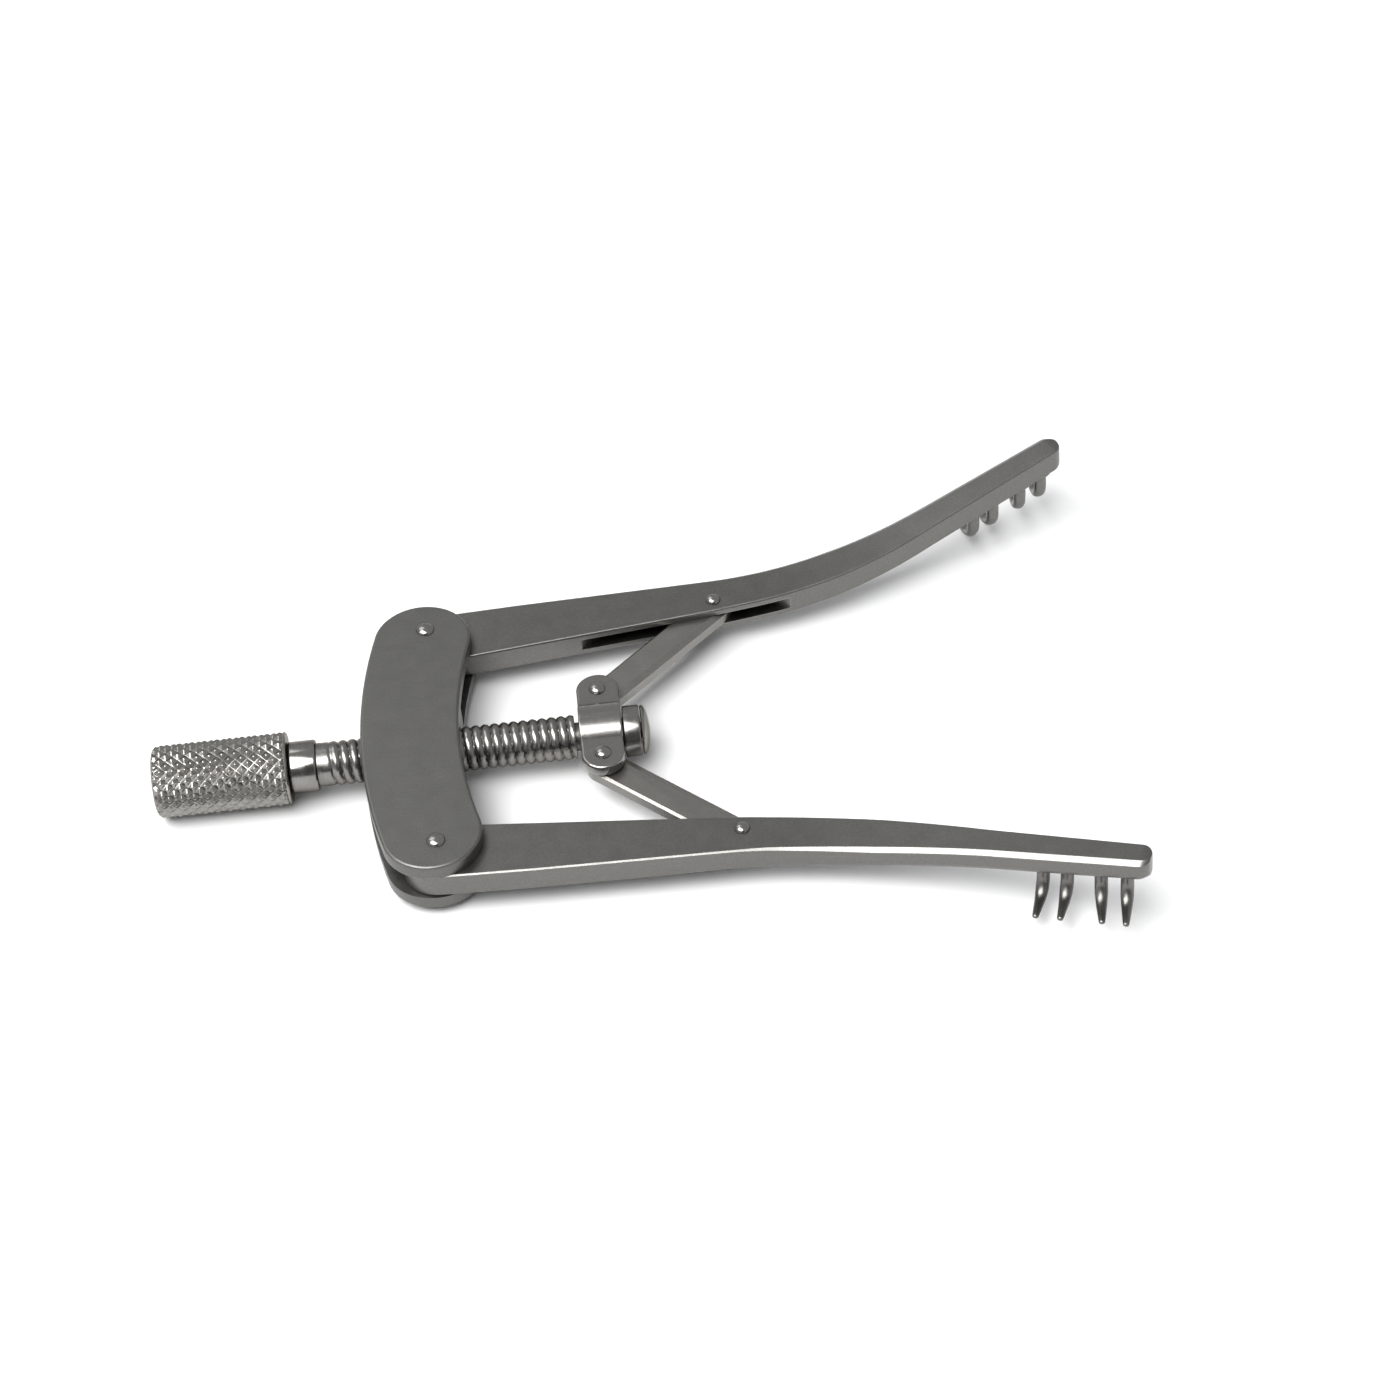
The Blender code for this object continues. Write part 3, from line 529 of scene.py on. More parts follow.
def plate(name, outlines, half_thickness, z=SPINDLE_Z):
    """A flat plate between its outer outline and any hole outlines, about height z."""
    curve = bpy.data.curves.new(name, "CURVE")
    curve.dimensions = "2D"
    curve.fill_mode = "BOTH"
    curve.extrude = half_thickness * MM
    for outline in outlines:
        spline = curve.splines.new("POLY")
        spline.points.add(len(outline) - 1)
        for point, (x, y) in zip(spline.points, outline):
            point.co = (x * MM, y * MM, 0.0, 1.0)
        spline.use_cyclic_u = True
    shape = bmesh.new()
    shape.from_mesh(baked(make_object(name, curve)))
    bmesh.ops.remove_doubles(shape, verts=shape.verts, dist=OUTLINE_MERGE)
    bmesh.ops.dissolve_limit(shape, angle_limit=FLAT_ANGLE, verts=shape.verts, edges=shape.edges)
    bmesh.ops.translate(shape, verts=shape.verts, vec=(0.0, 0.0, z * MM))
    return mesh_of(shape, name)


def upright_cylinder(name, centre, radius, low, high, steps=RIVET_STEPS):
    shape = bmesh.new()
    bmesh.ops.create_cone(
        shape, cap_ends=True, segments=steps,
        radius1=radius * MM, radius2=radius * MM, depth=(high - low) * MM,
    )
    place = Vector((centre[0], centre[1], (low + high) / 2)) * MM
    bmesh.ops.translate(shape, verts=shape.verts, vec=place)
    return mesh_of(shape, name)


def block(name, low, high):
    shape = bmesh.new()
    bmesh.ops.create_cube(shape, size=1.0)
    bmesh.ops.scale(shape, verts=shape.verts, vec=(Vector(high) - Vector(low)) * MM)
    bmesh.ops.translate(shape, verts=shape.verts, vec=(Vector(high) + Vector(low)) / 2 * MM)
    return mesh_of(shape, name)


def loft(name, rings, closed_ends=True):
    """A body through rings of points in millimetres, with as many points in each ring."""
    shape = bmesh.new()
    loops = [[shape.verts.new(Vector(point) * MM) for point in ring] for ring in rings]
    count = len(rings[0])
    for lower, upper in zip(loops, loops[1:]):
        for index in range(count):
            after = (index + 1) % count
            shape.faces.new((lower[index], lower[after], upper[after], upper[index]))
    if closed_ends:
        shape.faces.new(loops[0])
        shape.faces.new(loops[-1])
    return mesh_of(shape, name)


def turned(name, profile, steps=TURN_STEPS):
    """Turn a closed or axis-to-axis profile of (x, radius) about the spindle's axis."""
    rings = []
    for x, radius in profile:
        ring = []
        for step in range(steps):
            angle = 2 * math.pi * step / steps
            ring.append((x, radius * math.cos(angle), SPINDLE_Z + radius * math.sin(angle)))
        rings.append(ring)
    closed = profile[0] == profile[-1]
    shape = bmesh.new()
    shape.from_mesh(loft(name, rings, closed_ends=not closed))
    bmesh.ops.remove_doubles(shape, verts=shape.verts, dist=MERGE)
    return mesh_of(shape, name)


def circle(centre, radius, steps):
    angles = [2 * math.pi * step / steps for step in range(steps)]
    return [(centre[0] + radius * math.cos(a), centre[1] + radius * math.sin(a)) for a in angles]


def arc(centre, radius, start, end, steps):
    angles = [start + (end - start) * step / steps for step in range(steps + 1)]
    return [(centre[0] + radius * math.cos(a), centre[1] + radius * math.sin(a)) for a in angles]


def interpolate(table, position):
    for (x0, y0), (x1, y1) in zip(table, table[1:]):
        if position <= x1:
            return y0 + (y1 - y0) * (position - x0) / (x1 - x0)
    return table[-1][1]


def smooth_share(share):
    share = min(max(share, 0.0), 1.0)
    return share * share * (3 - 2 * share)


# ------------------------------------------------------------------------ yoke
def yoke_outline():
    """A bent bar: two concentric arcs closed by two round ends."""
    centre_x = YOKE_FRONT_X - YOKE_HALF_WIDTH + YOKE_MID_RADIUS
    sweep = math.asin(YOKE_END_Y / YOKE_MID_RADIUS)
    outer = YOKE_MID_RADIUS + YOKE_HALF_WIDTH
    inner = YOKE_MID_RADIUS - YOKE_HALF_WIDTH
    middle = (centre_x, 0.0)
    left_end = (centre_x - YOKE_MID_RADIUS * math.cos(sweep), YOKE_END_Y)
    right_end = (left_end[0], -YOKE_END_Y)
    points = arc(middle, outer, math.pi - sweep, math.pi + sweep, ARC_STEPS)
    points += arc(right_end, YOKE_HALF_WIDTH, math.pi + sweep, 2 * math.pi + sweep, 2 * ARC_STEPS)[1:-1]
    points += arc(middle, inner, math.pi + sweep, math.pi - sweep, ARC_STEPS)
    points += arc(left_end, YOKE_HALF_WIDTH, -sweep, math.pi - sweep, 2 * ARC_STEPS)[1:-1]
    return points


def build_yoke(material):
    bar = bevelled("yoke", plate("yoke", [yoke_outline()], YOKE_HALF_THICKNESS), YOKE_EDGE, 4)
    reach = PIVOT_Y + 2 * YOKE_HALF_WIDTH
    depth = 3 * YOKE_HALF_WIDTH
    tools = []
    for side in (1, -1):
        near, far = sorted((side * YOKE_SLOT_START_Y, side * reach))
        low = (-depth, near, SPINDLE_Z - YOKE_SLOT_HALF_HEIGHT)
        high = (depth, far, SPINDLE_Z + YOKE_SLOT_HALF_HEIGHT)
        tools.append((block("slot", low, high), "DIFFERENCE"))
        hole = upright_cylinder(
            "hole", (0.0, side * PIVOT_Y), PIVOT_RIVET_RADIUS + PIN_FIT, -OVERCUT, YOKE_TOP + OVERCUT,
        )
        tools.append((hole, "DIFFERENCE"))
    bore = turned("bore", [(-depth, 0.0), (-depth, BORE_RADIUS), (depth, BORE_RADIUS), (depth, 0.0)])
    tools.append((bore, "DIFFERENCE"))
    add_piece("yoke_bar", combined("yoke", bar, tools), material, "yoke", "yoke_body")


# ------------------------------------------------------------------------ arms
def arm_length():
    return ARM_SHANK_LENGTH + ARM_BEND_RADIUS * (ARM_TIP_HEADING - ARM_ROOT_HEADING) + ARM_TIP_LENGTH


def arm_point(distance):
    """The arm's middle line in plan, and its heading, at a distance from the pivot."""
    heading = ARM_ROOT_HEADING
    shank = min(distance, ARM_SHANK_LENGTH)
    x = shank * math.cos(heading)
    y = shank * math.sin(heading)
    bend = distance - ARM_SHANK_LENGTH
    if bend > 0.0:
        turn_angle = min(bend / ARM_BEND_RADIUS, ARM_TIP_HEADING - ARM_ROOT_HEADING)
        heading = ARM_ROOT_HEADING + turn_angle
        x += ARM_BEND_RADIUS * (math.sin(heading) - math.sin(ARM_ROOT_HEADING))
        y += ARM_BEND_RADIUS * (math.cos(ARM_ROOT_HEADING) - math.cos(heading))
        rest = bend - ARM_BEND_RADIUS * turn_angle
        x += rest * math.cos(heading)
        y += rest * math.sin(heading)
    return x, y, heading


def arm_rise(x):
    """Level, then a shallow arc upwards, then straight on."""
    along_arc = min(max(0.0, x - ARM_RISE_START_X), ARM_RISE_END_X - ARM_RISE_START_X)
    slope = along_arc / ARM_RISE_RADIUS
    return along_arc * slope / 2 + max(0.0, x - ARM_RISE_END_X) * slope


def arm_half_width(halves, distance):
    """The width of one side of the arm, from its middle line."""
    if distance < 0.0:
        return math.sqrt(max(ARM_ROOT_RADIUS ** 2 - distance ** 2, 0.0))
    half = interpolate(halves, distance)
    past = distance - (arm_length() - ARM_TIP_ROUND)
    if past > 0.0:
        half -= ARM_TIP_ROUND - math.sqrt(max(ARM_TIP_ROUND ** 2 - past ** 2, 0.0))
    return half


def arm_stations():
    """Distances from the pivot at which the arm's section is set."""
    root = []
    for step in range(ARM_ROOT_STEPS):
        angle = math.pi / 2 * (step + ARM_ROOT_START) / ARM_ROOT_STEPS
        root.append(-ARM_ROOT_RADIUS * math.cos(angle))
    straight = arm_length() - ARM_TIP_ROUND
    body = [straight * step / ARM_BODY_STEPS for step in range(ARM_BODY_STEPS + 1)]
    end = []
    for step in range(1, ARM_TIP_STEPS):
        end.append(straight + ARM_TIP_ROUND * math.sin(math.pi / 2 * step / ARM_TIP_STEPS))
    return root + body + end


def rounded_corners(corners, steps):
    """Replace each (across, up, radius) corner of a convex outline by an arc."""
    places = [Vector(corner[:2]) for corner in corners]
    points = []
    for index, place in enumerate(places):
        before = places[index - 1] - place
        after = places[(index + 1) % len(places)] - place
        half_angle = before.angle(after) / 2
        most = CORNER_SHARE * min(before.length, after.length) * math.tan(half_angle)
        radius = min(corners[index][2], most)
        inwards = (before.normalized() + after.normalized()).normalized()
        centre = place + inwards * radius / math.sin(half_angle)
        first = place + before.normalized() * radius / math.tan(half_angle) - centre
        turn = math.pi - 2 * half_angle
        start = math.atan2(first.y, first.x)
        points += arc(centre, radius, start, start + turn, steps)
    return points


def arm_section(distance, side):
    """An upright section with a facet along each top edge and a round outer lower edge."""
    x, y, heading = arm_point(distance)
    outer = arm_half_width(ARM_OUTER_HALVES, distance)
    inner = arm_half_width(ARM_INNER_HALVES, distance)
    past_root = max(distance, 0.0)
    top = min(interpolate(ARM_OUTER_FACETS, past_root), outer * ARM_EDGE_SHARE)
    inner_top = min(ARM_INNER_FACET[0], inner * ARM_EDGE_SHARE)
    past = max(distance - (arm_length() - ARM_TIP_ROUND), 0.0)
    tall = ARM_HALF_THICKNESS - ARM_TIP_DROP * (past / ARM_TIP_ROUND) ** 2
    corners = (
        (outer, tall - top * ARM_FACET_SLOPE, ARM_OUTER_ROUND), (outer - top, tall, ARM_OUTER_ROUND),
        (inner_top - inner, tall, ARM_INNER_ROUND),
        (-inner, tall - ARM_INNER_FACET[1], ARM_INNER_ROUND),
        (-inner, -tall, ARM_INNER_UNDER), (outer, -tall, interpolate(ARM_OUTER_UNDERS, past_root)),
    )
    rise = SPINDLE_Z + arm_rise(x)
    ring = []
    for across, up in rounded_corners(corners, ARM_CORNER_STEPS):
        place_y = PIVOT_Y + y + across * math.cos(heading)
        ring.append((x - across * math.sin(heading), side * place_y, rise + up))
    return ring


def prong_path():
    """(out, up, scale) along a prong, from inside the arm to its blunt end."""
    straight = PRONG_DROP - PRONG_BEND_RADIUS
    path = [(0.0, up, scale) for up, scale in PRONG_FLARE]
    for step in range(PRONG_BEND_STEPS + 1):
        angle = math.pi / 2 * step / PRONG_BEND_STEPS
        out = PRONG_BEND_RADIUS * (1 - math.cos(angle))
        taper = 1.0 + (PRONG_TIP_SCALE - 1.0) * prong_share(out)
        path.append((out, -straight - PRONG_BEND_RADIUS * math.sin(angle), taper))
    blunt = PRONG_REACH - PRONG_TIP_ROUND
    for share in (0.25, 0.5, 0.75, 1.0):
        out = PRONG_BEND_RADIUS + (blunt - PRONG_BEND_RADIUS) * share
        path.append((out, -PRONG_DROP, 1.0 + (PRONG_TIP_SCALE - 1.0) * prong_share(out)))
    for angle in (0.35, 0.7, 1.05, 1.4):
        out = blunt + PRONG_TIP_ROUND * math.sin(angle)
        path.append((out, -PRONG_DROP, PRONG_TIP_SCALE * math.cos(angle)))
    return path


def prong_share(out):
    """How far a prong has tapered: from a way round its bend to its blunt end."""
    start = PRONG_TAPER_START
    return min(max((out - start) / (PRONG_REACH - PRONG_TIP_ROUND - start), 0.0), 1.0)


def prong_mesh(name, distance, lean, side):
    """A tapered oval prong that drops from the arm's underside and curls outwards."""
    x, y, heading = arm_point(distance)
    x -= PRONG_ROOT_Y * math.sin(heading)
    y += PRONG_ROOT_Y * math.cos(heading)
    base = Vector((x, side * (PIVOT_Y + y), SPINDLE_Z + arm_rise(x) - ARM_HALF_THICKNESS))
    outwards = Vector((-math.sin(lean), side * math.cos(lean), 0.0))
    along = Vector((math.cos(lean), side * math.sin(lean), 0.0))
    path = prong_path()
    rings = []
    for index, (out, up, scale) in enumerate(path):
        after = path[min(index + 1, len(path) - 1)]
        before = path[max(index - 1, 0)]
        direction = outwards * (after[0] - before[0]) + Vector((0.0, 0.0, after[1] - before[1]))
        across = direction.normalized().cross(along)
        middle = base + outwards * out + Vector((0.0, 0.0, up))
        ring = []
        for width, depth in circle((0.0, 0.0), scale, PRONG_STEPS):
            ring.append(middle + along * width * PRONG_HALF_WIDTH + across * depth * PRONG_HALF_DEPTH)
        rings.append(ring)
    return loft(name, rings)


def build_arm(side, name, material):
    bar = loft(name, [arm_section(distance, side) for distance in arm_stations()])
    low = SPINDLE_Z - 2 * ARM_HALF_THICKNESS
    high = SPINDLE_Z + 2 * ARM_HALF_THICKNESS
    pivot = upright_cylinder("pivot", (0.0, side * PIVOT_Y), PIVOT_RIVET_RADIUS + PIN_FIT, low, high)
    centre = (ARM_SLOT_CENTRE[0], side * (PIVOT_Y + ARM_SLOT_CENTRE[1]))
    saw = upright_cylinder(
        "saw", centre, ARM_SLOT_RADIUS,
        SPINDLE_Z - ARM_SLOT_HALF_HEIGHT, SPINDLE_Z + ARM_SLOT_HALF_HEIGHT, 2 * TURN_STEPS,
    )
    pin_place = (LINK_PIN_X, side * (PIVOT_Y + LINK_PIN_Y))
    pin = upright_cylinder("pin", pin_place, LINK_RIVET_RADIUS + PIN_FIT, low, high)
    tools = [(pivot, "DIFFERENCE"), (saw, "DIFFERENCE"), (pin, "DIFFERENCE")]
    for distance, lean in PRONGS:
        tools.append((prong_mesh("prong", distance, math.radians(lean), side), "UNION"))
    mesh = combined(name, bar, tools)
    body = name + "_arm"
    add_piece(name + "_pronged_arm", mesh, material, body, body, ARM_SMOOTH_ANGLE)


# ---------------------------------------------------------------------- rivets
def rivet_mesh(name, centre, shank, top, bottom):
    """A shank with a low dome beyond the face at each end."""
    head = shank + PIN_FIT + RIVET_HEAD_EXTRA
    dome = []
    for step in range(RIVET_DOME_STEPS):
        angle = math.pi / 2 * step / RIVET_DOME_STEPS
        dome.append((head * math.sin(angle), RIVET_DOME * math.cos(angle)))
    dome += [(head, FACE_GAP), (shank, FACE_GAP)]
    profile = [(radius, top + height) for radius, height in dome]
    profile += [(radius, bottom - height) for radius, height in reversed(dome)]
    rings = []
    for radius, height in profile:
        rings.append([(x, y, height) for x, y in circle(centre, max(radius, 0.001), RIVET_STEPS)])
    return loft(name, rings)


def build_rivets(side, name, material):
    middle = SPINDLE_Z
    rows = (
        ("pivot_rivet", (0.0, side * PIVOT_Y), PIVOT_RIVET_RADIUS, YOKE_TOP, 0.0, "yoke"),
        ("link_rivet", (LINK_PIN_X, side * (PIVOT_Y + LINK_PIN_Y)), LINK_RIVET_RADIUS,
         middle + ARM_HALF_THICKNESS, middle - ARM_HALF_THICKNESS, name + "_arm"),
        ("swivel_rivet", (SWIVEL_X, side * SWIVEL_PIN_Y), SWIVEL_RIVET_RADIUS,
         middle + EAR_TOP, middle - LINK_HALF_THICKNESS, "carriage"),
    )
    for kind, centre, shank, top, bottom, body in rows:
        mesh = rivet_mesh(kind, centre, shank, top, bottom)
        node = name + "_" + kind
        add_piece(node + "_domed", mesh, material, body, node)


# ----------------------------------------------------------------------- links
def facet_wedge(start, end, direction, width, depth):
    """A prism that planes a sloping facet off one long top edge of a link."""
    top = SPINDLE_Z + LINK_HALF_THICKNESS
    slope = depth / width
    near = LINK_HALF_WIDTH - width - WEDGE_MARGIN
    far = LINK_HALF_WIDTH + WEDGE_MARGIN
    section = (
        (near, top + WEDGE_MARGIN * slope), (far, top - depth - WEDGE_MARGIN * slope),
        (far, top + OVERCUT), (near, top + OVERCUT),
    )
    rings = []
    for place in (start, end):
        ring = []
        for across, up in section:
            point = place + direction * across
            ring.append((point.x, point.y, up))
        rings.append(ring)
    return loft("wedge", rings)


def build_link(side, name, material):
    start = Vector((SWIVEL_X, side * SWIVEL_PIN_Y))
    end = Vector((LINK_PIN_X, side * (PIVOT_Y + LINK_PIN_Y)))
    heading = math.atan2(end.y - start.y, end.x - start.x)
    quarter = math.pi / 2
    outline = arc(start, LINK_HALF_WIDTH, heading + quarter, heading + 3 * quarter, ARC_STEPS)
    outline += arc(end, LINK_HALF_WIDTH, heading - quarter, heading + quarter, ARC_STEPS)
    holes = [
        circle(start, SWIVEL_RIVET_RADIUS + PIN_FIT, RIVET_STEPS),
        circle(end, LINK_ARM_HOLE_RADIUS, RIVET_STEPS),
    ]
    strap = bevelled("link", plate("link", [outline, *holes], LINK_HALF_THICKNESS), LINK_EDGE, 3)
    along = (end - start).normalized()
    overrun = along * WEDGE_OVERRUN
    forwards = Vector((along.y, -along.x)) * side
    tools = []
    for direction, facet in ((forwards, LINK_FRONT_FACET), (-forwards, LINK_REAR_FACET)):
        wedge = facet_wedge(start - overrun, end + overrun, direction, *facet)
        tools.append((wedge, "DIFFERENCE"))
    mesh = combined("link", strap, tools)
    add_piece(name + "_link_strap", mesh, material, name + "_link", name + "_link")


# ---------------------------------------------------------------------- swivel
def build_swivel(material):
    half = SWIVEL_HALF_LENGTH
    edge = BARREL_EDGE
    profile = [(SWIVEL_X - half, 0.0), (SWIVEL_X - half, SWIVEL_BARREL_RADIUS - edge)]
    for degrees in (30, 60, 90):
        angle = math.radians(degrees)
        x = SWIVEL_X - half + edge * (1 - math.cos(angle))
        profile.append((x, SWIVEL_BARREL_RADIUS - edge + edge * math.sin(angle)))
    profile += [(2 * SWIVEL_X - x, radius) for x, radius in reversed(profile)]
    barrel = turned("barrel", profile)
    reach = SWIVEL_BARREL_RADIUS + OVERCUT
    tools = []
    for side in (1, -1):
        near, far = sorted((side * SWIVEL_FLAT_Y, side * reach))
        low = (SWIVEL_X - reach, near, SPINDLE_Z - reach)
        high = (SWIVEL_X + reach, far, SPINDLE_Z + EAR_BOTTOM)
        tools.append((block("flat", low, high), "DIFFERENCE"))
    quarter = math.pi / 2
    outline = arc((SWIVEL_X, SWIVEL_PIN_Y), half, 0.0, 2 * quarter, ARC_STEPS)
    outline += arc((SWIVEL_X, -SWIVEL_PIN_Y), half, 2 * quarter, 4 * quarter, ARC_STEPS)
    ear_middle = SPINDLE_Z + (EAR_TOP + EAR_BOTTOM) / 2
    ears = plate("ears", [outline], (EAR_TOP - EAR_BOTTOM) / 2, ear_middle)
    tools.append((bevelled("ears", ears, EAR_EDGE, 4), "UNION"))
    for side in (1, -1):
        hole = upright_cylinder(
            "hole", (SWIVEL_X, side * SWIVEL_PIN_Y), SWIVEL_RIVET_RADIUS + PIN_FIT,
            SPINDLE_Z, SPINDLE_Z + EAR_TOP + OVERCUT,
        )
        tools.append((hole, "DIFFERENCE"))
    bore = turned("bore", [(SWIVEL_X - reach, 0.0), (SWIVEL_X - reach, JOURNAL_BORE),
                           (SWIVEL_X + reach, JOURNAL_BORE), (SWIVEL_X + reach, 0.0)])
    tools.append((bore, "DIFFERENCE"))
    mesh = combined("swivel", barrel, tools)
    add_piece("swivel_block", mesh, material, "carriage", "swivel_saddle")


# --------------------------------------------------------------------- spindle
def thread_radius(x, angle):
    """Rounded right-handed thread that fades into the plain shank at its knob end."""
    phase = (x / THREAD_PITCH - angle / (2 * math.pi)) % 1.0
    crest = 1.0 - abs(2 * phase - 1) ** THREAD_FULLNESS
    depth = THREAD_CREST_RADIUS - THREAD_ROOT_RADIUS
    run_in = smooth_share((x - THREAD_START_X) / THREAD_PITCH)
    threaded = THREAD_ROOT_RADIUS + depth * crest
    return SHANK_RADIUS + (threaded - SHANK_RADIUS) * run_in


def build_spindle(material):
    stub = COLLAR_HIGH.x + FACE_GAP
    tail_end = KNOB_HIGH.x - TAIL_DEPTH
    neck_face = NECK_HIGH.x + FACE_GAP
    rows = [(tail_end, 0.0), (tail_end, TAIL_RADIUS), (neck_face, TAIL_RADIUS), (neck_face, SHANK_RADIUS)]
    after = [(THREAD_END_X, JOURNAL_RADIUS), (stub, JOURNAL_RADIUS), (stub, STUB_RADIUS + PIN_FIT),
             (stub - STUB_DEPTH, STUB_RADIUS + PIN_FIT), (stub - STUB_DEPTH, 0.0)]
    count = int((THREAD_END_X - THREAD_START_X) / THREAD_PITCH * THREAD_RINGS)
    steps = TURN_STEPS
    rings = []
    for x, radius in rows:
        rings.append([(x, radius)] * steps)
    for index in range(count + 1):
        x = THREAD_START_X + (THREAD_END_X - THREAD_START_X) * index / count
        rings.append([(x, thread_radius(x, 2 * math.pi * step / steps)) for step in range(steps)])
    for x, radius in after:
        rings.append([(x, radius)] * steps)
    placed = []
    for ring in rings:
        points = []
        for step, (x, radius) in enumerate(ring):
            angle = 2 * math.pi * step / steps
            points.append((x, radius * math.cos(angle), SPINDLE_Z + radius * math.sin(angle)))
        placed.append(points)
    shape = bmesh.new()
    shape.from_mesh(loft("spindle", placed))
    bmesh.ops.remove_doubles(shape, verts=shape.verts, dist=MERGE)
    add_piece("threaded_spindle", mesh_of(shape, "spindle"), material, "spindle",
              "drive_spindle")


def rounded_ring(bore, radius, start, end, edge):
    """A ring's closed section in (x, radius) with quarter-round outer edges."""
    points = [(start, bore)]
    angles = [math.pi / 2 * step / EDGE_STEPS for step in range(EDGE_STEPS + 1)]
    for angle in angles:
        points.append((start + edge - edge * math.cos(angle), radius - edge + edge * math.sin(angle)))
    for angle in angles:
        points.append((end - edge + edge * math.sin(angle), radius - edge + edge * math.cos(angle)))
    points += [(end, bore), (start, bore)]
    return points


def button_profile():
    back = COLLAR_HIGH.x + 2 * FACE_GAP
    radius = (BUTTON_HIGH.z - BUTTON_LOW.z) / 2
    front = BUTTON_HIGH.x
    stub_end = BUTTON_LOW.x
    rim = back + BUTTON_EDGE
    points = [(stub_end, 0.0), (stub_end, STUB_RADIUS), (back, STUB_RADIUS)]
    points += [(back, radius - BUTTON_EDGE), (rim, radius)]
    for step in range(1, DOME_STEPS + 1):
        angle = math.pi / 2 * step / DOME_STEPS
        points.append((rim + (front - rim) * math.sin(angle), radius * math.cos(angle)))
    points[-1] = (front, 0.0)
    return points


def knurl_height(x, angle, start, end):
    """Nought in a groove, one on a diamond's point, fading out at the knob's ends."""
    first = (angle * KNURL_RIDGES / (2 * math.pi) + x / KNURL_PITCH) % 1.0
    second = (angle * KNURL_RIDGES / (2 * math.pi) - x / KNURL_PITCH) % 1.0
    point = min(1 - abs(2 * first - 1), 1 - abs(2 * second - 1))
    fade = smooth_share((x - start) / KNURL_MARGIN) * smooth_share((end - x) / KNURL_MARGIN)
    return min(1.0, point * KNURL_FULLNESS) * fade + (1 - fade)


def build_knob(material):
    radius = (KNOB_HIGH.z - KNOB_LOW.z) / 2
    start, end = KNOB_LOW.x, KNOB_HIGH.x
    tail_end = end - TAIL_BORE_DEPTH
    bore = TAIL_RADIUS + PIN_FIT
    rear, drop = KNOB_REAR_ROUND
    front = KNOB_FRONT_EDGE
    steps = KNURL_RIDGES * KNURL_STEPS
    rows = [(start, 0.0, 0.0), (start, radius - drop, 0.0)]
    for step in range(1, KNOB_ROUND_STEPS + 1):
        angle = math.pi / 2 * step / KNOB_ROUND_STEPS
        x = start + rear - rear * math.cos(angle)
        rows.append((x, radius - drop + drop * math.sin(angle), 1.0))
    knurled = int((end - front - start - rear) / KNURL_PITCH * KNURL_STEPS)
    for index in range(1, knurled):
        rows.append((start + rear + (end - front - start - rear) * index / knurled, radius, 1.0))
    for step in range(EDGE_STEPS + 1):
        angle = math.pi / 2 * step / EDGE_STEPS
        x = end - front + front * math.sin(angle)
        rows.append((x, radius - front + front * math.cos(angle), 0.0))
    rows += [(end, bore, 0.0), (tail_end, bore, 0.0), (tail_end, 0.0, 0.0)]
    rings = []
    for x, ring_radius, cut in rows:
        ring = []
        for step in range(steps):
            angle = 2 * math.pi * step / steps
            depth = cut * KNURL_DEPTH * (1 - knurl_height(x, angle, start + rear / 4, end - front))
            reach = ring_radius - depth
            ring.append((x, reach * math.cos(angle), SPINDLE_Z + reach * math.sin(angle)))
        rings.append(ring)
    shape = bmesh.new()
    shape.from_mesh(loft("knob", rings))
    bmesh.ops.remove_doubles(shape, verts=shape.verts, dist=MERGE)
    add_piece("knurled_grip", mesh_of(shape, "knob"), material, "spindle", "knurled_knob")


def build_spindle_rings(material):
    neck = rounded_ring(TAIL_RADIUS + PIN_FIT, (NECK_HIGH.z - NECK_LOW.z) / 2, NECK_LOW.x, NECK_HIGH.x,
                        NECK_EDGE)
    collar_radius = (COLLAR_HIGH.z - COLLAR_LOW.z) / 2
    collar = rounded_ring(JOURNAL_RADIUS + PIN_FIT, collar_radius, COLLAR_LOW.x, COLLAR_HIGH.x,
                          COLLAR_EDGE)
    rows = (
        ("neck_sleeve", neck, "neck_collar"),
        ("retaining_ring", collar, "retaining_collar"),
        ("domed_button", button_profile(), "end_button"),
    )
    for name, profile, node in rows:
        add_piece(name, turned(name, profile), material, "spindle", node)


# ----------------------------------------------------------------------- stage
def build_stage():
    """A pale floor just under the knob, the room and large soft lights."""
    floor_z = cad_low.z - FLOOR_GAP
    shape = bmesh.new()
    bmesh.ops.create_grid(shape, x_segments=1, y_segments=1, size=FLOOR_SIZE)
    bmesh.ops.translate(shape, verts=shape.verts, vec=(0.0, 0.0, floor_z))
    floor = make_object("floor", mesh_of(shape, "floor"))
    nodes = MaterialNodes("pale_floor")
    tone = nodes.remap(nodes.noise(FLOOR_DENSITY, detail=3.0), 0.3, 0.7, 0.0, 1.0)
    nodes.link(nodes.tint(tone, *FLOOR_COLOURS), nodes.shader.inputs["Base Color"])
    nodes.shader.inputs["Roughness"].default_value = 0.9
    nodes.shader.inputs["Specular IOR Level"].default_value = 0.1
    floor.data.materials.append(nodes.material)

    build_room()
    for name, place, size, power in SOFTBOXES:
        add_softbox(name, place, size, power)
    bpy.context.scene.view_settings.view_transform = "Standard"


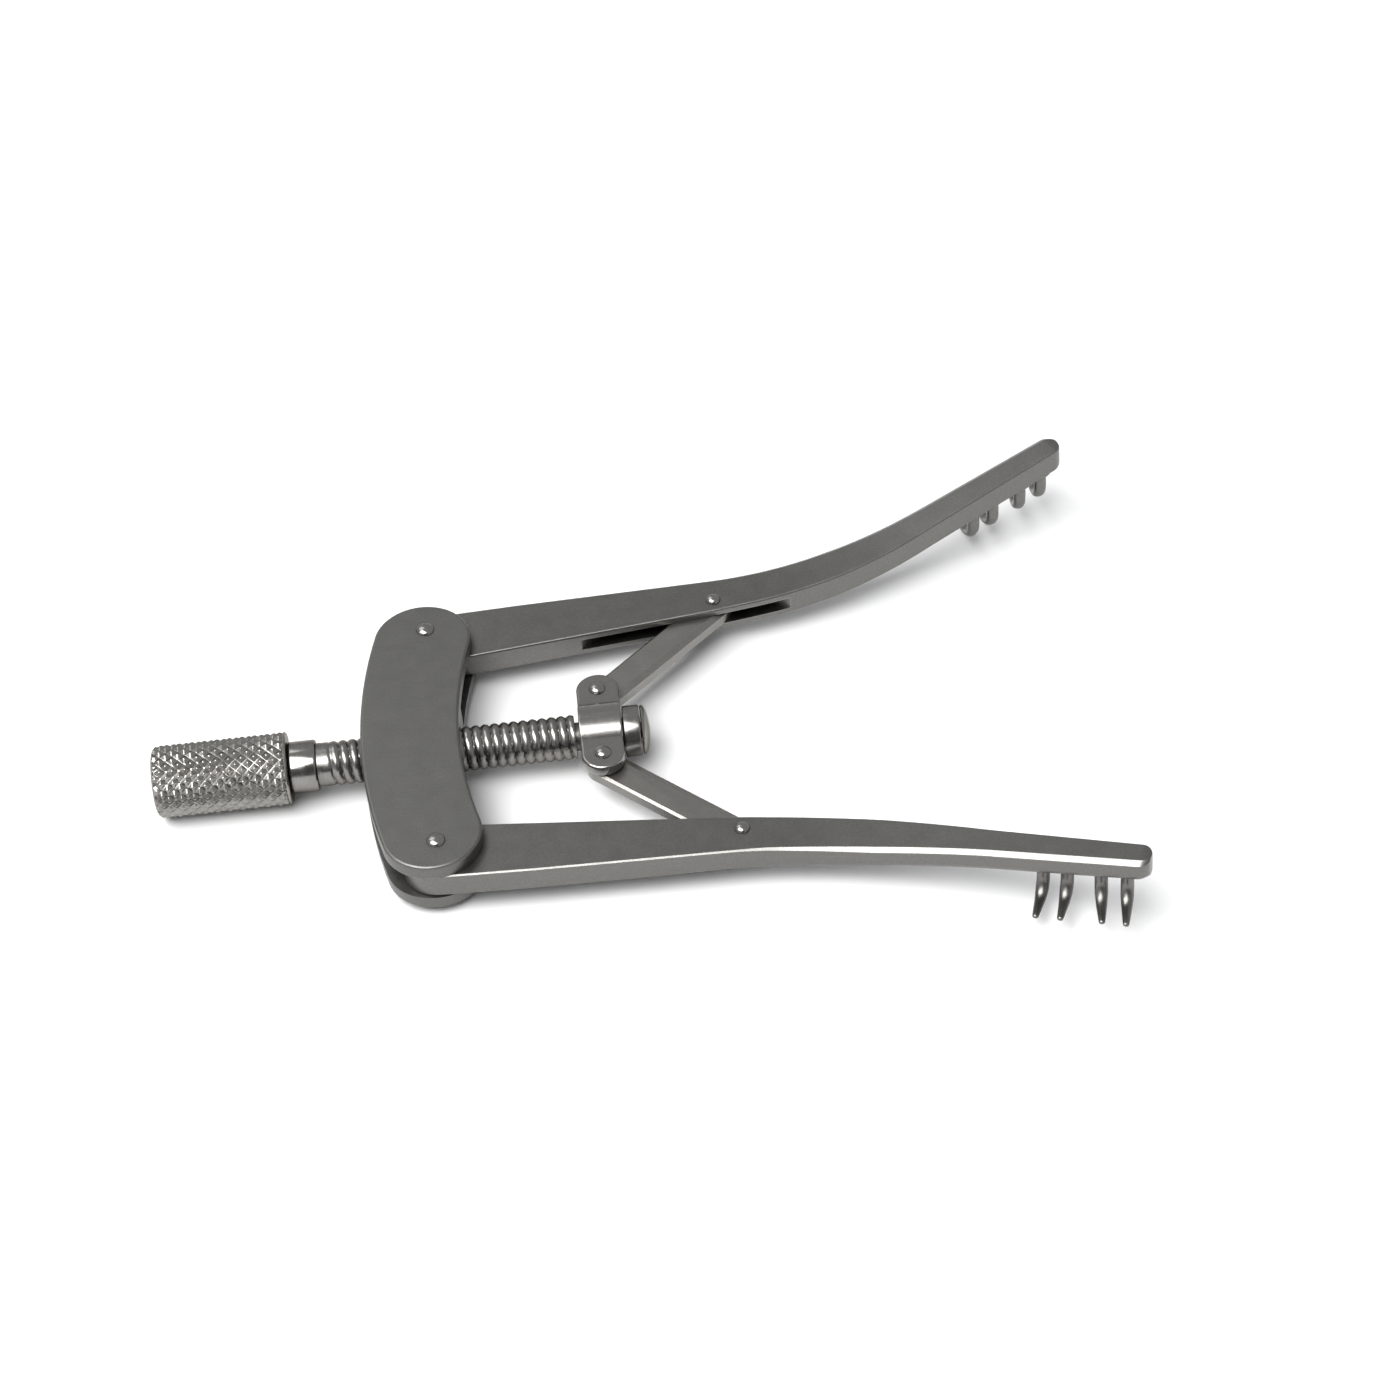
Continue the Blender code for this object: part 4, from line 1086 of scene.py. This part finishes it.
def build_room():
    """An even soft room with one dim side, towards the viewer."""
    world = bpy.data.worlds.new("soft_room")
    world.use_nodes = True
    tree = world.node_tree
    background = tree.nodes["Background"]
    direction = tree.nodes.new("ShaderNodeTexCoord")
    nearness = tree.nodes.new("ShaderNodeVectorMath")
    nearness.operation = "DOT_PRODUCT"
    nearness.inputs[1].default_value = DIM_SIDE.normalized()
    tree.links.new(direction.outputs["Generated"], nearness.inputs[0])
    fade = tree.nodes.new("ShaderNodeMapRange")
    fade.interpolation_type = "SMOOTHSTEP"
    socket_value(fade, "From Min", math.cos(DIM_SPREAD[0]))
    socket_value(fade, "From Max", math.cos(DIM_SPREAD[1]))
    socket_value(fade, "To Min", ROOM_LIGHT)
    socket_value(fade, "To Max", DIM_LIGHT)
    tree.links.new(nearness.outputs["Value"], fade.inputs["Value"])
    tree.links.new(fade.outputs["Result"], background.inputs["Strength"])
    background.inputs["Color"].default_value = ROOM_COLOUR
    bpy.context.scene.world = world


def add_softbox(name, place, size, power):
    """A rectangular light that faces the frame's origin."""
    light = bpy.data.lights.new(name, "AREA")
    light.shape = "RECTANGLE"
    light.size, light.size_y = size
    light.energy = power
    lamp = make_object(name, light)
    lamp.location = place
    lamp.rotation_euler = (-Vector(place)).to_track_quat("-Z", "Y").to_euler()


def build_camera():
    """Looks down at about 44 degrees from the right arm's side, from 42 centimetres."""
    place = Vector((0.0, 0.0, SPINDLE_Z)) + CAMERA_FROM_SPINDLE
    data = bpy.data.cameras.new("camera")
    data.sensor_width = SENSOR_WIDTH
    data.lens = FOCAL_LENGTH
    data.clip_start = 0.01
    camera = make_object("camera", data)
    look = Matrix.Rotation(CAMERA_ROLL, 3, "Z") @ Matrix.Rotation(CAMERA_ELEVATION - math.pi / 2, 3, "X")
    look = look @ Matrix.Rotation(CAMERA_AZIMUTH, 3, "Z")
    camera.matrix_world = Matrix.Translation(place * MM) @ look.transposed().to_4x4()
    bpy.context.scene.camera = camera


# -------------------------------------------------------------------- assembly
yoke_steel = steel("satin_yoke_steel", (0.148, 0.146, 0.140), 0.42)
arm_steel = steel("satin_arm_steel", (0.165, 0.162, 0.154), 0.33, wear=0.2)
link_steel = steel("satin_link_steel", (0.235, 0.227, 0.213), 0.32)
rivet_steel = steel("domed_rivet_steel", (0.24, 0.235, 0.225), 0.18, polish=0.5)
swivel_steel = steel("bright_swivel_steel", (0.25, 0.243, 0.232), 0.2, polish=0.5)
spindle_steel = turned_steel("turned_spindle_steel", (0.27, 0.262, 0.248), 0.16, 0.35)
thread_steel = turned_steel("threaded_spindle_steel", (0.25, 0.243, 0.23), 0.24, 0.35)
knob_steel = turned_steel("knurled_knob_steel", (0.315, 0.308, 0.291), 0.22, 0.25)

build_yoke(yoke_steel)
build_swivel(swivel_steel)
build_spindle(thread_steel)
build_spindle_rings(spindle_steel)
build_knob(knob_steel)
for arm_side, arm_name in ((1, "left"), (-1, "right")):
    build_arm(arm_side, arm_name, arm_steel)
    build_link(arm_side, arm_name, link_steel)
    build_rivets(arm_side, arm_name, rivet_steel)
build_camera()
build_stage()
